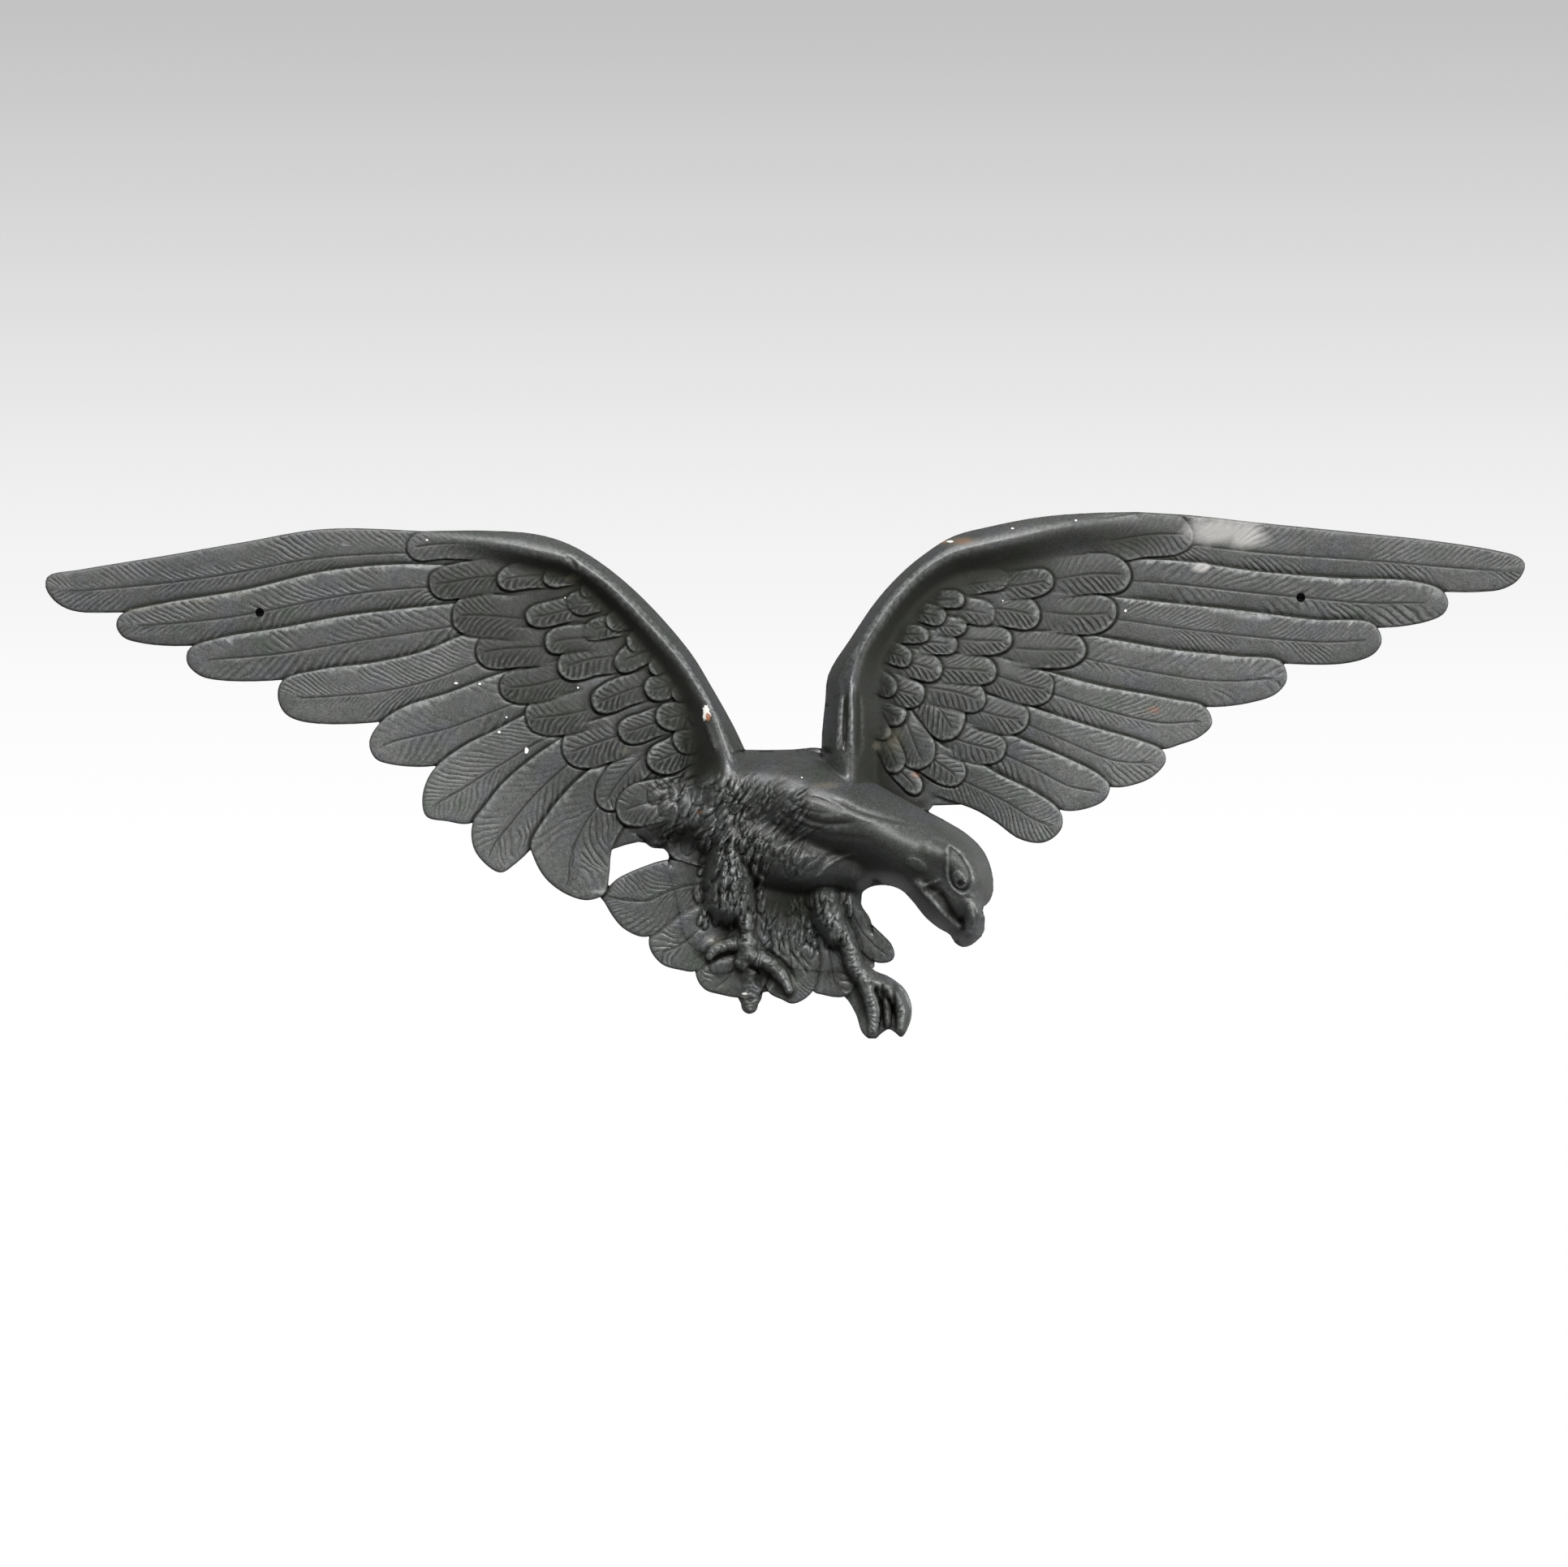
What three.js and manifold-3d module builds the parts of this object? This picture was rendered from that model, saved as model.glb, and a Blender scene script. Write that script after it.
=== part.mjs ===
// A spread-eagle wall plaque, cast in one piece with a hollow back, and screwed to a wall
// through a hole in each wing. Millimetres, +Z up. The wall is the plane y = 0 and the eagle
// faces -Y, so a height below is a distance in front of the wall. The origin is on the wall,
// midway between the two screws. Left and right are as the viewer sees them.
import * as THREE from "three";
import { mergeVertices } from "three/addons/utils/BufferGeometryUtils.js";
import Module from "manifold-3d";

const wasm = await Module();
wasm.setup();

// Driving sizes
const SPAN = 750;
const WALL = 4.5;
const SCREW_HOLES = [[-264, -3.5], [264, 4]];
const SCREW_RADIUS = 2.3;
const BOSS_RADIUS = 8;
const TIP_HEIGHT = 7;
const ROOT_HEIGHT = 13;
const SHOULDER_HEIGHT = 9;
const LAP = 2.2;
const VANE_CROWN = 0.5;
const COVERT_RISE = 2;
const COVERT_CROWN = 1.1;
const PLATE_SINK = 0.6;
const BLADE_STEPS = 9;
const COVERT_STEPS = 4;

// Flight feathers of each wing, from the outermost inwards. Each lies over the one before it.
// edge runs from the root along the upper edge, round the tip and back along the lower edge.
const LEFT_PRIMARIES = [
  [[-165, 37], [-231, 38.8], [-272, 32.2], [-314, 25], [-355, 18.3], [-371.5, 15], [-373, 10],
    [-368.5, 2.5], [-359.5, -2.5], [-337.5, -3.5], [-293, -1], [-231, 10], [-165, 18]],
  [[-149, 19], [-190, 21], [-231, 17.5], [-272, 8], [-314, 1], [-334.5, -4.5], [-337, -10],
    [-333.5, -16], [-324.5, -19], [-303, -20.5], [-260, -16], [-202, -5.5], [-149, 0.5]],
  [[-141, 3.5], [-190, -1.5], [-223, -5.5], [-252, -11], [-285, -16.5], [-300, -22], [-301, -29],
    [-295.5, -35], [-288, -37.5], [-257, -38], [-211, -31], [-145, -18]],
  [[-132, -7.5], [-161, -15], [-182, -23.5], [-207, -29], [-231, -32], [-252.5, -38], [-255, -46],
    [-251.5, -54.5], [-242, -59], [-203, -59], [-165, -50], [-128, -34]],
  [[-120, -28], [-145, -35.5], [-169, -44.5], [-190, -51], [-203, -59.5], [-208.5, -69.5],
    [-205.5, -77.5], [-198, -80.5], [-176, -81.5], [-149, -73.5], [-116, -59]],
  [[-108, -50], [-128, -55], [-145, -63.5], [-161, -71.5], [-176.5, -84], [-181.5, -97],
    [-179.5, -107], [-169, -109.5], [-157, -110.5], [-132, -94], [-108, -75]],
  [[-101, -61], [-124, -76], [-141, -90.5], [-149, -100.5], [-156, -110.5], [-155.5, -123],
    [-148, -132.5], [-141.5, -135.5], [-135, -131.5], [-126, -123], [-112, -104], [-97, -86]],
  [[-87, -75], [-106, -91.5], [-118, -106], [-126.5, -121], [-125, -128], [-119, -138.5], [-108.5, -146.5],
    [-97.5, -149.5], [-89, -146], [-86.8, -136], [-85.5, -124], [-77, -108], [-70, -96]],
];
const RIGHT_PRIMARIES = [
  [[181, 47.5], [210, 45.6], [241, 42.2], [295, 36.8], [329, 33.2], [364, 27.8], [375, 24.5], [378, 21],
    [375, 13.5], [367, 8.5], [356, 7], [337, 7], [304, 9], [242, 12], [181, 20]],
  [[172, 24], [205, 22.5], [242, 17.5], [284, 14], [321, 12.5], [336, 7.5], [339, 1.5], [336.8, -4],
    [328, -8.2], [303, -11.3], [263, -7], [214, -2.5], [172, 2.5]],
  [[160, 5.5], [197, 1.5], [234, -2.5], [271, -7], [300.5, -9], [305.2, -17.5], [301.5, -24.3],
    [289, -29], [256, -29.5], [209, -25], [160, -16]],
  [[152, -14], [197, -22], [230, -25.5], [254, -28.5], [257, -37.5], [252, -44.5], [240, -49],
    [216, -51.5], [181, -45.5], [139, -36]],
  [[115, -28], [139, -34.5], [164, -41], [197, -47], [215.5, -51.5], [219, -60], [213, -66.5],
    [203, -70.5], [193, -73], [160, -63.5], [123, -49]],
  [[115, -47], [132, -53], [160, -62], [181, -68], [194, -73.5], [195.5, -79], [190, -86],
    [181, -90.5], [167, -92], [139, -77.5], [110, -63]],
  [[104, -60], [124, -68.5], [148, -78.5], [162, -86], [167, -91.5], [165.5, -97.5], [160, -101.5],
    [143.5, -104], [123, -92], [98, -80]],
  [[90, -71], [108, -84], [129, -94.5], [142, -104.5], [143, -112], [139, -117.5], [132, -120.5],
    [121, -118.3], [109.5, -110], [99.5, -104], [86, -99], [69, -93]],
];

// The feather tuft at each wrist, lying along the front edge over the first flight feather
const LEFT_WRIST = [[-120, 33], [-150, 36], [-184, 36.5], [-190.5, 33], [-185, 26.5], [-176, 22.5],
  [-160, 21.5], [-125, 24]];
const RIGHT_WRIST = [[125, 42], [165, 45], [200, 44.5], [209, 42], [204, 35], [197, 29.5],
  [186, 25.5], [165, 24], [125, 27]];

// Covert feathers, each over the ones before it: tip x, tip z, heading of the tip in degrees
// from +X, length and width
const LEFT_COVERTS = [
  [-90.5, -102.5, 232, 35, 17], [-82.5, -106, 197, 41, 19], [-109, -77.5, 205, 35, 18],
  [-128.5, -59, 193, 33, 15.5], [-142, -42.5, 190, 35, 14],
  [-67, -80.5, 205, 23, 15], [-82.5, -64, 192, 25, 13], [-96, -49, 195, 31, 14],
  [-84, -30, 200, 21, 12], [-112.5, -32.5, 194, 31, 15], [-154, -25.5, 190, 41, 16.5],
  [-52.5, -73, 215, 16, 12], [-62.5, -59, 198, 17, 11], [-68.5, -44, 200, 16.5, 10],
  [-99.5, -14, 192, 18.5, 9], [-119.5, -20, 190, 25, 11], [-166.5, -6.5, 182, 39, 18],
  [-108, 0.5, 190, 16, 9], [-129, -5.5, 187, 25, 10.5], [-178.5, 12, 183, 39, 16.5],
  [-143.5, 14, 182, 25.5, 13], [-120, 14, 180, 16, 8],
];
const RIGHT_COVERTS = [
  [91, -90, 318, 30, 17], [113.5, -75.5, 340, 31, 17], [126, -58.5, 347, 34, 15.5],
  [138.5, -42.5, 348, 35, 15.5],
  [74.5, -81.5, 298, 28, 15], [89.5, -66, 307, 30, 18], [103.5, -49.5, 343, 31, 14],
  [109, -35.5, 350, 31, 14], [154.5, -24.5, 353, 38, 17],
  [62.5, -59, 325, 16, 13], [73, -45.5, 348, 19, 11.5], [82, -33, 350, 20, 11.5],
  [89.5, -21, 352, 20, 10], [117, -19.5, 352, 27, 14], [170.5, -4.5, 357, 39, 18],
  [94.5, -11, 355, 16, 7.5], [131.5, -4.5, 355, 26, 14], [177.5, 15.5, 2, 40, 17],
  [138.5, 12, 3, 26, 13], [99.5, 2.5, 350, 14, 6],
];

// The rolled front edge of each wing: the outline, the crest behind it and the crest's height
const LEFT_EDGE = [[-190.5, 37.5], [-165, 38], [-149, 38], [-124.5, 36.3], [-108, 31.5], [-91.5, 22],
  [-70.5, 4.5], [-46, -23.2], [-34.4, -42], [-23.2, -62], [-18, -73], [-9, -90]];
const LEFT_CREST = [[-184, 35], [-141, 31], [-124.5, 27.5], [-108, 23.5], [-95.5, 16.5], [-83, 6.5],
  [-66.5, -10.5], [-50, -29.5], [-42, -41.5], [-35.5, -53], [-31, -67], [-26, -84]];
const RIGHT_EDGE = [[181, 47.5], [158.5, 47], [132.5, 45], [106, 40], [87.5, 35], [73, 26], [61, 16],
  [48, 1.5], [35.5, -17], [26.5, -30.5], [23.8, -37], [22.8, -49], [21.4, -62], [21, -72.5], [23, -90]];
const RIGHT_CREST = [[189, 42], [165, 40.5], [145.5, 39.5], [119.5, 34], [99.5, 29.5], [86.5, 26],
  [72, 17], [59, 4], [48.5, -10.5], [40, -25], [36, -42.5], [35.5, -58], [34.5, -75], [34, -92]];
const CREST_HEIGHTS = { left: [11, 30], right: [11, 32] };

// The plain plate below the coverts, inside the feathers and level with the silhouette elsewhere
const LEFT_PLATE_LOWER = [[-0.5, -104], [-25, -137], [-54, -128.5], [-57, -125.5], [-59, -123.5],
  [-64.5, -123], [-68, -120.5], [-72, -120], [-78.5, -121.5], [-86, -124], [-99, -121], [-132, -88],
  [-165, -42], [-188, -9]];
const RIGHT_PLATE_LOWER = [[7.5, -100], [40, -121], [61, -108.5], [75, -104.5], [77.5, -101.5],
  [94, -101], [100.5, -103], [123, -96], [152, -75], [181, -42], [190, -5]];

// Tail feathers, the outer ones over the inner
const TAIL_PLATE = [[-57, -129], [-33, -131], [32, -137], [41.5, -145], [41, -153], [46, -164],
  [48, -183], [38, -193], [32, -198], [21.5, -197.5], [16.5, -195.5], [-7, -196], [-21, -199],
  [-41, -185], [-64.5, -167], [-66, -145]];
const TAIL_FEATHERS = [
  [[5, -150], [12, -178], [16.5, -195.5], [21.5, -197.5], [32, -198.5], [38, -193], [37, -170],
    [28, -150]],
  [[-7, -150], [-9.5, -178], [-6, -196], [1, -200], [5.5, -202], [10, -201], [16.5, -195.5],
    [20, -178], [12, -150]],
  [[-25, -150], [-37, -170.5], [-43, -183], [-42, -190], [-38, -195], [-30, -197.5], [-21, -199],
    [-11, -197.5], [-4, -178], [-9, -150]],
  [[-25, -138], [-46, -150], [-60, -160], [-66.3, -167.5], [-66, -174.5], [-60, -182], [-50.5, -185],
    [-43, -185.5], [-31, -174], [-18, -150]],
  [[-28, -133], [-57, -129], [-69.5, -132.5], [-80, -137], [-83.5, -139.2], [-86.5, -142],
    [-92, -146.2], [-89, -151], [-85.5, -157], [-80, -163.5], [-71, -168], [-65.5, -167.5],
    [-50, -156], [-28, -146]],
  [[32, -141], [41.5, -153], [45.5, -160.5], [51.5, -166.5], [56.5, -172], [58, -177.5], [56, -180.5],
    [48.5, -181], [40, -174], [32, -158]],
];
const TAIL_HEIGHT = 9;

// The outline that the body, neck and head keep, over the roots of the wings and the tail, and
// round the neck and head where they stand free
const BODY_OUTLINE = [[-30, -76], [-18.5, -73.3], [-8, -73.3], [6, -73], [20, -72.3], [30, -77],
  [40, -84.5], [53, -93], [75, -104.5], [83.5, -109], [95.5, -116.5], [103.5, -125], [107.5, -135.5],
  [108, -145], [106, -150.5], [103, -153], [103.5, -158.5], [103.5, -165], [100, -170],
  [93.5, -173.5], [89, -171.5], [86, -167], [80, -163.5], [73.5, -158], [67.5, -150.5],
  [61.5, -144.5], [54, -142], [46, -142.8], [41.5, -146], [41.3, -152], [46, -160], [46, -182],
  [-8, -182], [-45, -172], [-52, -150], [-57, -129], [-56.5, -126.8], [-59, -123.5], [-65, -123],
  [-70, -119], [-78, -110], [-70, -88], [-48, -80]];
const BODY_SPACING = 6.5;
const HEAD_SPACING = 4.3;
const HEAD_START = 64;

// The rounded forms that the body is made of: a route, with the half width and the height of the
// form along it. They run into each other.
const FORMS = {
  flank: { route: [[-66.6, -104.5], [-50.1, -104.5], [-33.6, -106.6], [-15, -110.7]],
    width: [7, 12, 17, 22], crest: [21, 27, 31, 33] },
  neck: { route: [[-25.4, -94.2], [-0.6, -97.1], [28.2, -105.8], [57.1, -118.9], [79.8, -131.3],
    [90.1, -143.7]], width: [20, 27, 26, 23, 22, 20], crest: [32, 40, 46, 49, 50, 47] },
  breast: { route: [[-15, -121], [9.7, -127.2], [36.5, -131.3]],
    width: [20, 20, 14], crest: [35, 36, 31] },
  thigh: { route: [[-22.9, -128.4], [-23.7, -141.6], [-24.5, -156.5]],
    width: [14, 13, 11.5], crest: [38, 41, 33] },
  farThigh: { route: [[26.2, -149.9], [26.6, -158.9], [29.1, -168.8]],
    width: [12, 11, 8], crest: [28, 31, 26] },
  belly: { route: [[-13, -143.7], [9.7, -145.7], [36.5, -149.9]],
    width: [20, 20, 14], crest: [21, 22, 22] },
  brow: { route: [[81, -119.4], [89.3, -123.5], [95, -130.1], [98.3, -140.8]],
    width: [5, 7, 7, 6], crest: [50, 53, 53, 49] },
  beak: { route: [[95, -147.8], [98.3, -156.1], [97.1, -166.4]],
    width: [9, 8.5, 7.5], crest: [45, 44, 34] },
  jaw: { route: [[76.1, -147.4], [83.1, -157.3], [91.7, -165.5]],
    width: [6.5, 7.5, 6], crest: [43, 43, 33] },
};
const FORM_BLEND = 1.6;
const FORM_FLOOR = 5;
const FORM_ROUNDNESS = 0.7;
const FORM_SAMPLES = 25;

// Legs and toes: a route of points, each with its half width and its height
const LEGS = [
  { route: [[-16, -164], [-16.5, -173], [-15.5, -182]], width: [4.5, 4, 4.5], crest: 25 },
  { route: [[-18, -172], [-25, -174.5], [-32.5, -178.5]], width: [3.5, 3.2, 2.2], crest: 22 },
  { route: [[-15.5, -179], [-15, -189], [-15, -197], [-15.5, -203]], width: [5, 4.6, 6.8, 5], crest: 24 },
  { route: [[-16, -179], [-6.5, -182.5], [0, -188], [4.5, -196]], width: [4, 3.8, 3.4, 2.4], crest: 23 },
  { route: [[30, -163], [35, -173], [38.5, -184], [46, -191]], width: [6, 5.5, 5.5, 6], crest: 24 },
];
const RIGHT_FOOT = [[33, -178], [41, -178], [47.5, -185], [55.5, -188.5], [63, -194.5], [66.5, -202.5],
  [66, -211], [61.5, -219], [58, -216.5], [55, -215], [51.5, -217], [47, -220.5], [41.8, -217],
  [38.6, -208], [34.8, -201], [31, -196]];
const RIGHT_TOES = [
  { route: [[42, -189], [45.5, -198], [47.5, -207], [47, -216]], width: [4, 4.4, 4.2, 2.8], crest: 22 },
  { route: [[49, -191], [53.5, -202], [54.5, -212]], width: [3.5, 3, 2], crest: 18 },
  { route: [[51, -192], [58, -198], [61.5, -206], [61, -214.5]], width: [4.5, 4.4, 4, 2.4], crest: 21 },
];

// The hollows of the back, all about a wall's thickness inside the silhouette. Those of the wings
// and the tail keep the wall's thickness behind the front, and the others have a depth of their own.
const WING_HOLLOWS = [
  [[-363, 11], [-300, 22], [-235, 31], [-185, 31.5], [-155, 32], [-127, 29.5], [-110, 24.5],
    [-95, 15], [-74, -3], [-51, -28], [-38, -48], [-28, -68], [-28, -118], [-60, -117], [-75, -114],
    [-92, -119], [-94, -140], [-106, -140], [-117, -127], [-130, -119], [-142, -129], [-150, -118],
    [-150, -108], [-163, -104], [-174, -99], [-168, -86], [-176, -76], [-200, -74], [-203, -64],
    [-226, -54], [-246, -51], [-244, -42], [-270, -32], [-293, -31], [-293, -22], [-325, -13],
    [-330, 2], [-356, 4]],
  [[369, 20], [300, 29], [235, 35.5], [190, 41], [155, 41], [132, 39], [107, 34], [90, 29],
    [77, 21], [66, 12], [54, -3], [42, -20], [32, -36], [29, -62], [29, -80], [60, -95], [96, -95],
    [112, -103], [125, -113], [136, -111], [137, -104], [133, -98], [148, -98], [160, -94],
    [176, -84], [189, -79], [180, -69], [211, -61], [206, -54], [248, -40], [246, -31],
    [296, -18], [293, -14], [331, -1], [328, 8], [362, 14]],
];
const TAIL_HOLLOWS = [
  [[-50, -136], [-30, -136], [30, -150], [38, -165], [43, -183], [34, -190], [20, -192], [-6, -190],
    [-20, -193], [-33, -189], [-38, -180], [-52, -179], [-60, -172], [-61, -163], [-72, -162],
    [-80, -157], [-83, -148], [-76, -142], [-64, -136]],
  [[40, -184], [48, -192], [58, -198], [61, -204], [60, -210], [57, -211], [49, -212], [46, -212],
    [45, -205], [40, -196], [36, -190]],
];
const DEEP_HOLLOWS = [
  { height: 22, outline: [[-30, -96], [-16, -84], [16, -82], [38, -95], [60, -106], [82, -118],
    [94, -128], [98, -138], [94, -150], [84, -150], [72, -140], [60, -132], [30, -130], [0, -122],
    [-24, -118]] },
  { height: 10, outline: [[-30, -140], [-26, -122], [20, -122], [34, -134], [30, -150], [12, -152],
    [-14, -152], [-28, -156]] },
];

function clamp01(value) {
  return Math.min(1, Math.max(0, value));
}

// Height of the bare wing: it rises from the tips to the shoulders
function wingHeight(x, z) {
  const reach = Math.abs(x);
  const plate = TIP_HEIGHT + (ROOT_HEIGHT - TIP_HEIGHT) * clamp01(1 - reach / (SPAN / 2));
  const across = (Math.max(reach, 75) - 75) / 70;
  const along = (z + 50) / 48;
  return plate + SHOULDER_HEIGHT * Math.exp(-across * across - along * along);
}

// Points evenly spaced along a smooth curve through the given points
function smooth(points, count) {
  const curve = new THREE.CatmullRomCurve3(points.map(([x, z]) => new THREE.Vector3(x, z, 0)));
  return curve.getSpacedPoints(count - 1).map((p) => [p.x, p.y]);
}

// The triangles that fill a loop of points, turned the way the loop runs
function filling(loop) {
  const flat = loop.map(([x, , z]) => new THREE.Vector2(x, z));
  const direction = Math.sign(THREE.ShapeUtils.area(flat));
  return THREE.ShapeUtils.triangulateShape(flat, []).map(([a, b, c]) => {
    const turn = Math.sign(THREE.ShapeUtils.area([flat[a], flat[b], flat[c]]));
    return turn === direction ? [a, b, c] : [a, c, b];
  });
}

// A closed solid from loops of [x, height, z] that follow one another over the front, the first
// loop at the wall. The first and last loops are filled.
function solidFromLoops(loops) {
  const count = loops[0].length;
  const positions = loops.flat().flatMap(([x, height, z]) => [x, -height, z]);
  const triangles = filling(loops[0]).map(([a, b, c]) => [a, c, b]);
  for (let ring = 0; ring + 1 < loops.length; ring += 1) {
    for (let i = 0; i < count; i += 1) {
      const a = ring * count + i;
      const b = ring * count + ((i + 1) % count);
      triangles.push([a, b, b + count], [a, b + count, a + count]);
    }
  }
  const last = (loops.length - 1) * count;
  triangles.push(...filling(loops[loops.length - 1]).map((corners) => corners.map((i) => i + last)));
  return toManifold(positions, triangles);
}

function toManifold(positions, triangles) {
  const geometry = new THREE.BufferGeometry();
  geometry.setAttribute("position", new THREE.Float32BufferAttribute(positions, 3));
  geometry.setIndex(triangles.flat());
  const merged = mergeVertices(geometry, 1e-3);
  const index = Array.from(merged.index.array);
  const kept = [];
  for (let i = 0; i < index.length; i += 3) {
    const [a, b, c] = index.slice(i, i + 3);
    if (a !== b && b !== c && a !== c) {
      kept.push(a, b, c);
    }
  }
  const points = merged.attributes.position.array;
  if (signedVolume(points, kept) < 0) {
    kept.reverse();
  }
  return new wasm.Manifold(new wasm.Mesh({
    numProp: 3,
    vertProperties: new Float32Array(points),
    triVerts: new Uint32Array(kept),
  }));
}

function signedVolume(points, index) {
  const corner = (i) => new THREE.Vector3().fromArray(points, 3 * i);
  let total = 0;
  for (let i = 0; i < index.length; i += 3) {
    total += corner(index[i]).dot(corner(index[i + 1]).cross(corner(index[i + 2])));
  }
  return total;
}

// A feather between its upper edge and its lower edge, which both end at the tip. Each section
// is a bar: wall, upper edge, shaft, lower edge, wall.
function blade(upper, lower, heights) {
  const sections = upper.map(([x, z], i) => {
    const [lowX, lowZ] = lower[i];
    const [top, shaft, bottom] = heights([x, z], [lowX, lowZ], i / (upper.length - 1));
    const ridge = [(x + lowX) / 2, -shaft, (z + lowZ) / 2];
    return [[x, 0, z], [x, -top, z], ridge, [lowX, -bottom, lowZ], [lowX, 0, lowZ]];
  });
  return lofted(sections);
}

// A closed solid through sections of equally many points
function lofted(sections) {
  const size = sections[0].length;
  const triangles = [];
  for (let i = 0; i + 1 < sections.length; i += 1) {
    for (let j = 0; j < size; j += 1) {
      const a = i * size + j;
      const b = i * size + ((j + 1) % size);
      triangles.push([a, b, b + size], [a, b + size, a + size]);
    }
  }
  const last = (sections.length - 1) * size;
  for (let j = 1; j + 1 < size; j += 1) {
    triangles.push([0, j + 1, j], [last, last + j, last + j + 1]);
  }
  return toManifold(sections.flat(2), triangles);
}

// Splits a feather's outline at its tip, the point farthest from the root, and gives both edges
function edges(outline, steps) {
  const fine = smooth(outline, 161);
  const root = [(fine[0][0] + fine[160][0]) / 2, (fine[0][1] + fine[160][1]) / 2];
  const reach = fine.map(([x, z]) => Math.hypot(x - root[0], z - root[1]));
  const tip = reach.indexOf(Math.max(...reach));
  const pick = (from, to) => Array.from({ length: steps + 1 }, (_, i) => {
    const share = 1 - (1 - i / steps) ** 1.6;
    return fine[Math.round(from + (to - from) * share)];
  });
  return [pick(0, tip), pick(160, tip)];
}

// A flight or tail feather: proud along the upper edge, low along the other
function vane(outline, ground, lap = LAP) {
  const [upper, lower] = edges(outline, BLADE_STEPS);
  return blade(upper, lower, ([x, z], [lowX, lowZ], share) => {
    const top = ground(x, z) + lap * (1 - 0.5 * share ** 6);
    const bottom = ground(lowX, lowZ) + 0.5 * lap * share ** 6;
    return [top, (top + bottom) / 2 + VANE_CROWN * (1 - share ** 3), bottom];
  });
}

// A covert: a tongue with a round tip, domed across
function covert([tipX, tipZ, heading, length, width], ground) {
  const angle = THREE.MathUtils.degToRad(heading);
  const [dx, dz] = [Math.cos(angle), Math.sin(angle)];
  const upper = [];
  const lower = [];
  for (let i = 0; i <= COVERT_STEPS; i += 1) {
    const back = length * (1 - i / COVERT_STEPS) ** 1.7;
    const round = clamp01(back / (0.6 * width));
    const half = (width / 2) * Math.sqrt(1 - (1 - round) ** 2);
    upper.push([tipX - dx * back - dz * half, tipZ - dz * back + dx * half]);
    lower.push([tipX - dx * back + dz * half, tipZ - dz * back - dx * half]);
  }
  return blade(upper, lower, ([x, z], [lowX, lowZ], share) => {
    const rise = COVERT_RISE * share - PLATE_SINK * (1 - share) ** 2;
    const crown = COVERT_CROWN * (1 - share ** 8);
    const middle = ground((x + lowX) / 2, (z + lowZ) / 2);
    return [ground(x, z) + rise, middle + rise + crown, ground(lowX, lowZ) + rise];
  });
}

// The rolled front edge: from the silhouette up to the crest and steeply down into the hollow
// behind it
function roll(edge, crest, [startHeight, endHeight], steps) {
  const outer = smooth(edge, steps);
  const ridge = smooth(crest, steps);
  const sections = outer.map(([x, z], i) => {
    const share = i / (steps - 1);
    const height = THREE.MathUtils.lerp(startHeight, endHeight, share ** 0.8);
    const rim = THREE.MathUtils.lerp(7, 15, share);
    const [cx, cz] = ridge[i];
    const [footX, footZ] = [cx + 0.75 * (cx - x), cz + 0.75 * (cz - z)];
    return [
      [x, 0, z],
      [x, -rim, z],
      [x + 0.45 * (cx - x), -(rim + 0.8 * (height - rim)), z + 0.45 * (cz - z)],
      [cx, -height, cz],
      [footX, -wingHeight(footX, footZ), footZ],
      [footX, 0, footZ],
    ];
  });
  return lofted(sections);
}

// A plate of the given height over an outline
function plate(outline, height) {
  return solidFromLoops([
    outline.map(([x, z]) => [x, 0, z]),
    outline.map(([x, z]) => [x, height(x, z), z]),
  ]);
}

// A mound over an outline: loops that draw in towards a line and rise like a quarter ellipse
function mound(outline, line, [firstCrest, lastCrest], rim, shares) {
  const nearest = outline.map(([x, z]) => {
    const reach = line.map(([lineX, lineZ]) => Math.hypot(x - lineX, z - lineZ));
    return reach.indexOf(Math.min(...reach));
  });
  const loops = [outline.map(([x, z]) => [x, 0, z]), outline.map(([x, z]) => [x, rim, z])];
  for (const share of shares) {
    const swell = Math.sqrt(1 - (1 - share) ** 2);
    loops.push(outline.map(([x, z], i) => {
      const [lineX, lineZ] = line[nearest[i]];
      const crest = THREE.MathUtils.lerp(firstCrest, lastCrest, nearest[i] / (line.length - 1));
      return [x + share * (lineX - x), rim + swell * (crest - rim), z + share * (lineZ - z)];
    }));
  }
  return solidFromLoops(loops);
}

// Height of one form: highest on its route and round across it
function formHeight({ line, width, crest }, x, z) {
  let nearest = 0;
  let reach = Infinity;
  line.forEach(([lineX, lineZ], i) => {
    const distance = Math.hypot(x - lineX, z - lineZ);
    if (distance < reach) {
      [nearest, reach] = [i, distance];
    }
  });
  const share = nearest / (line.length - 1);
  const across = Math.min(1, reach / along(width, share));
  return along(crest, share) * (1 - across * across) ** FORM_ROUNDNESS;
}

// The value that a list reaches at a share of its length
function along(values, share) {
  const place = share * (values.length - 1);
  const low = Math.min(Math.floor(place), values.length - 2);
  return THREE.MathUtils.lerp(values[low], values[low + 1], place - low);
}

// Height of the body: the highest form at each place, with rounded valleys between forms
function bodyHeight(forms, x, z) {
  const sum = forms.reduce((total, form) => total + Math.exp(formHeight(form, x, z) / FORM_BLEND), 0);
  return Math.max(FORM_FLOOR, FORM_BLEND * Math.log(sum));
}

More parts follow.
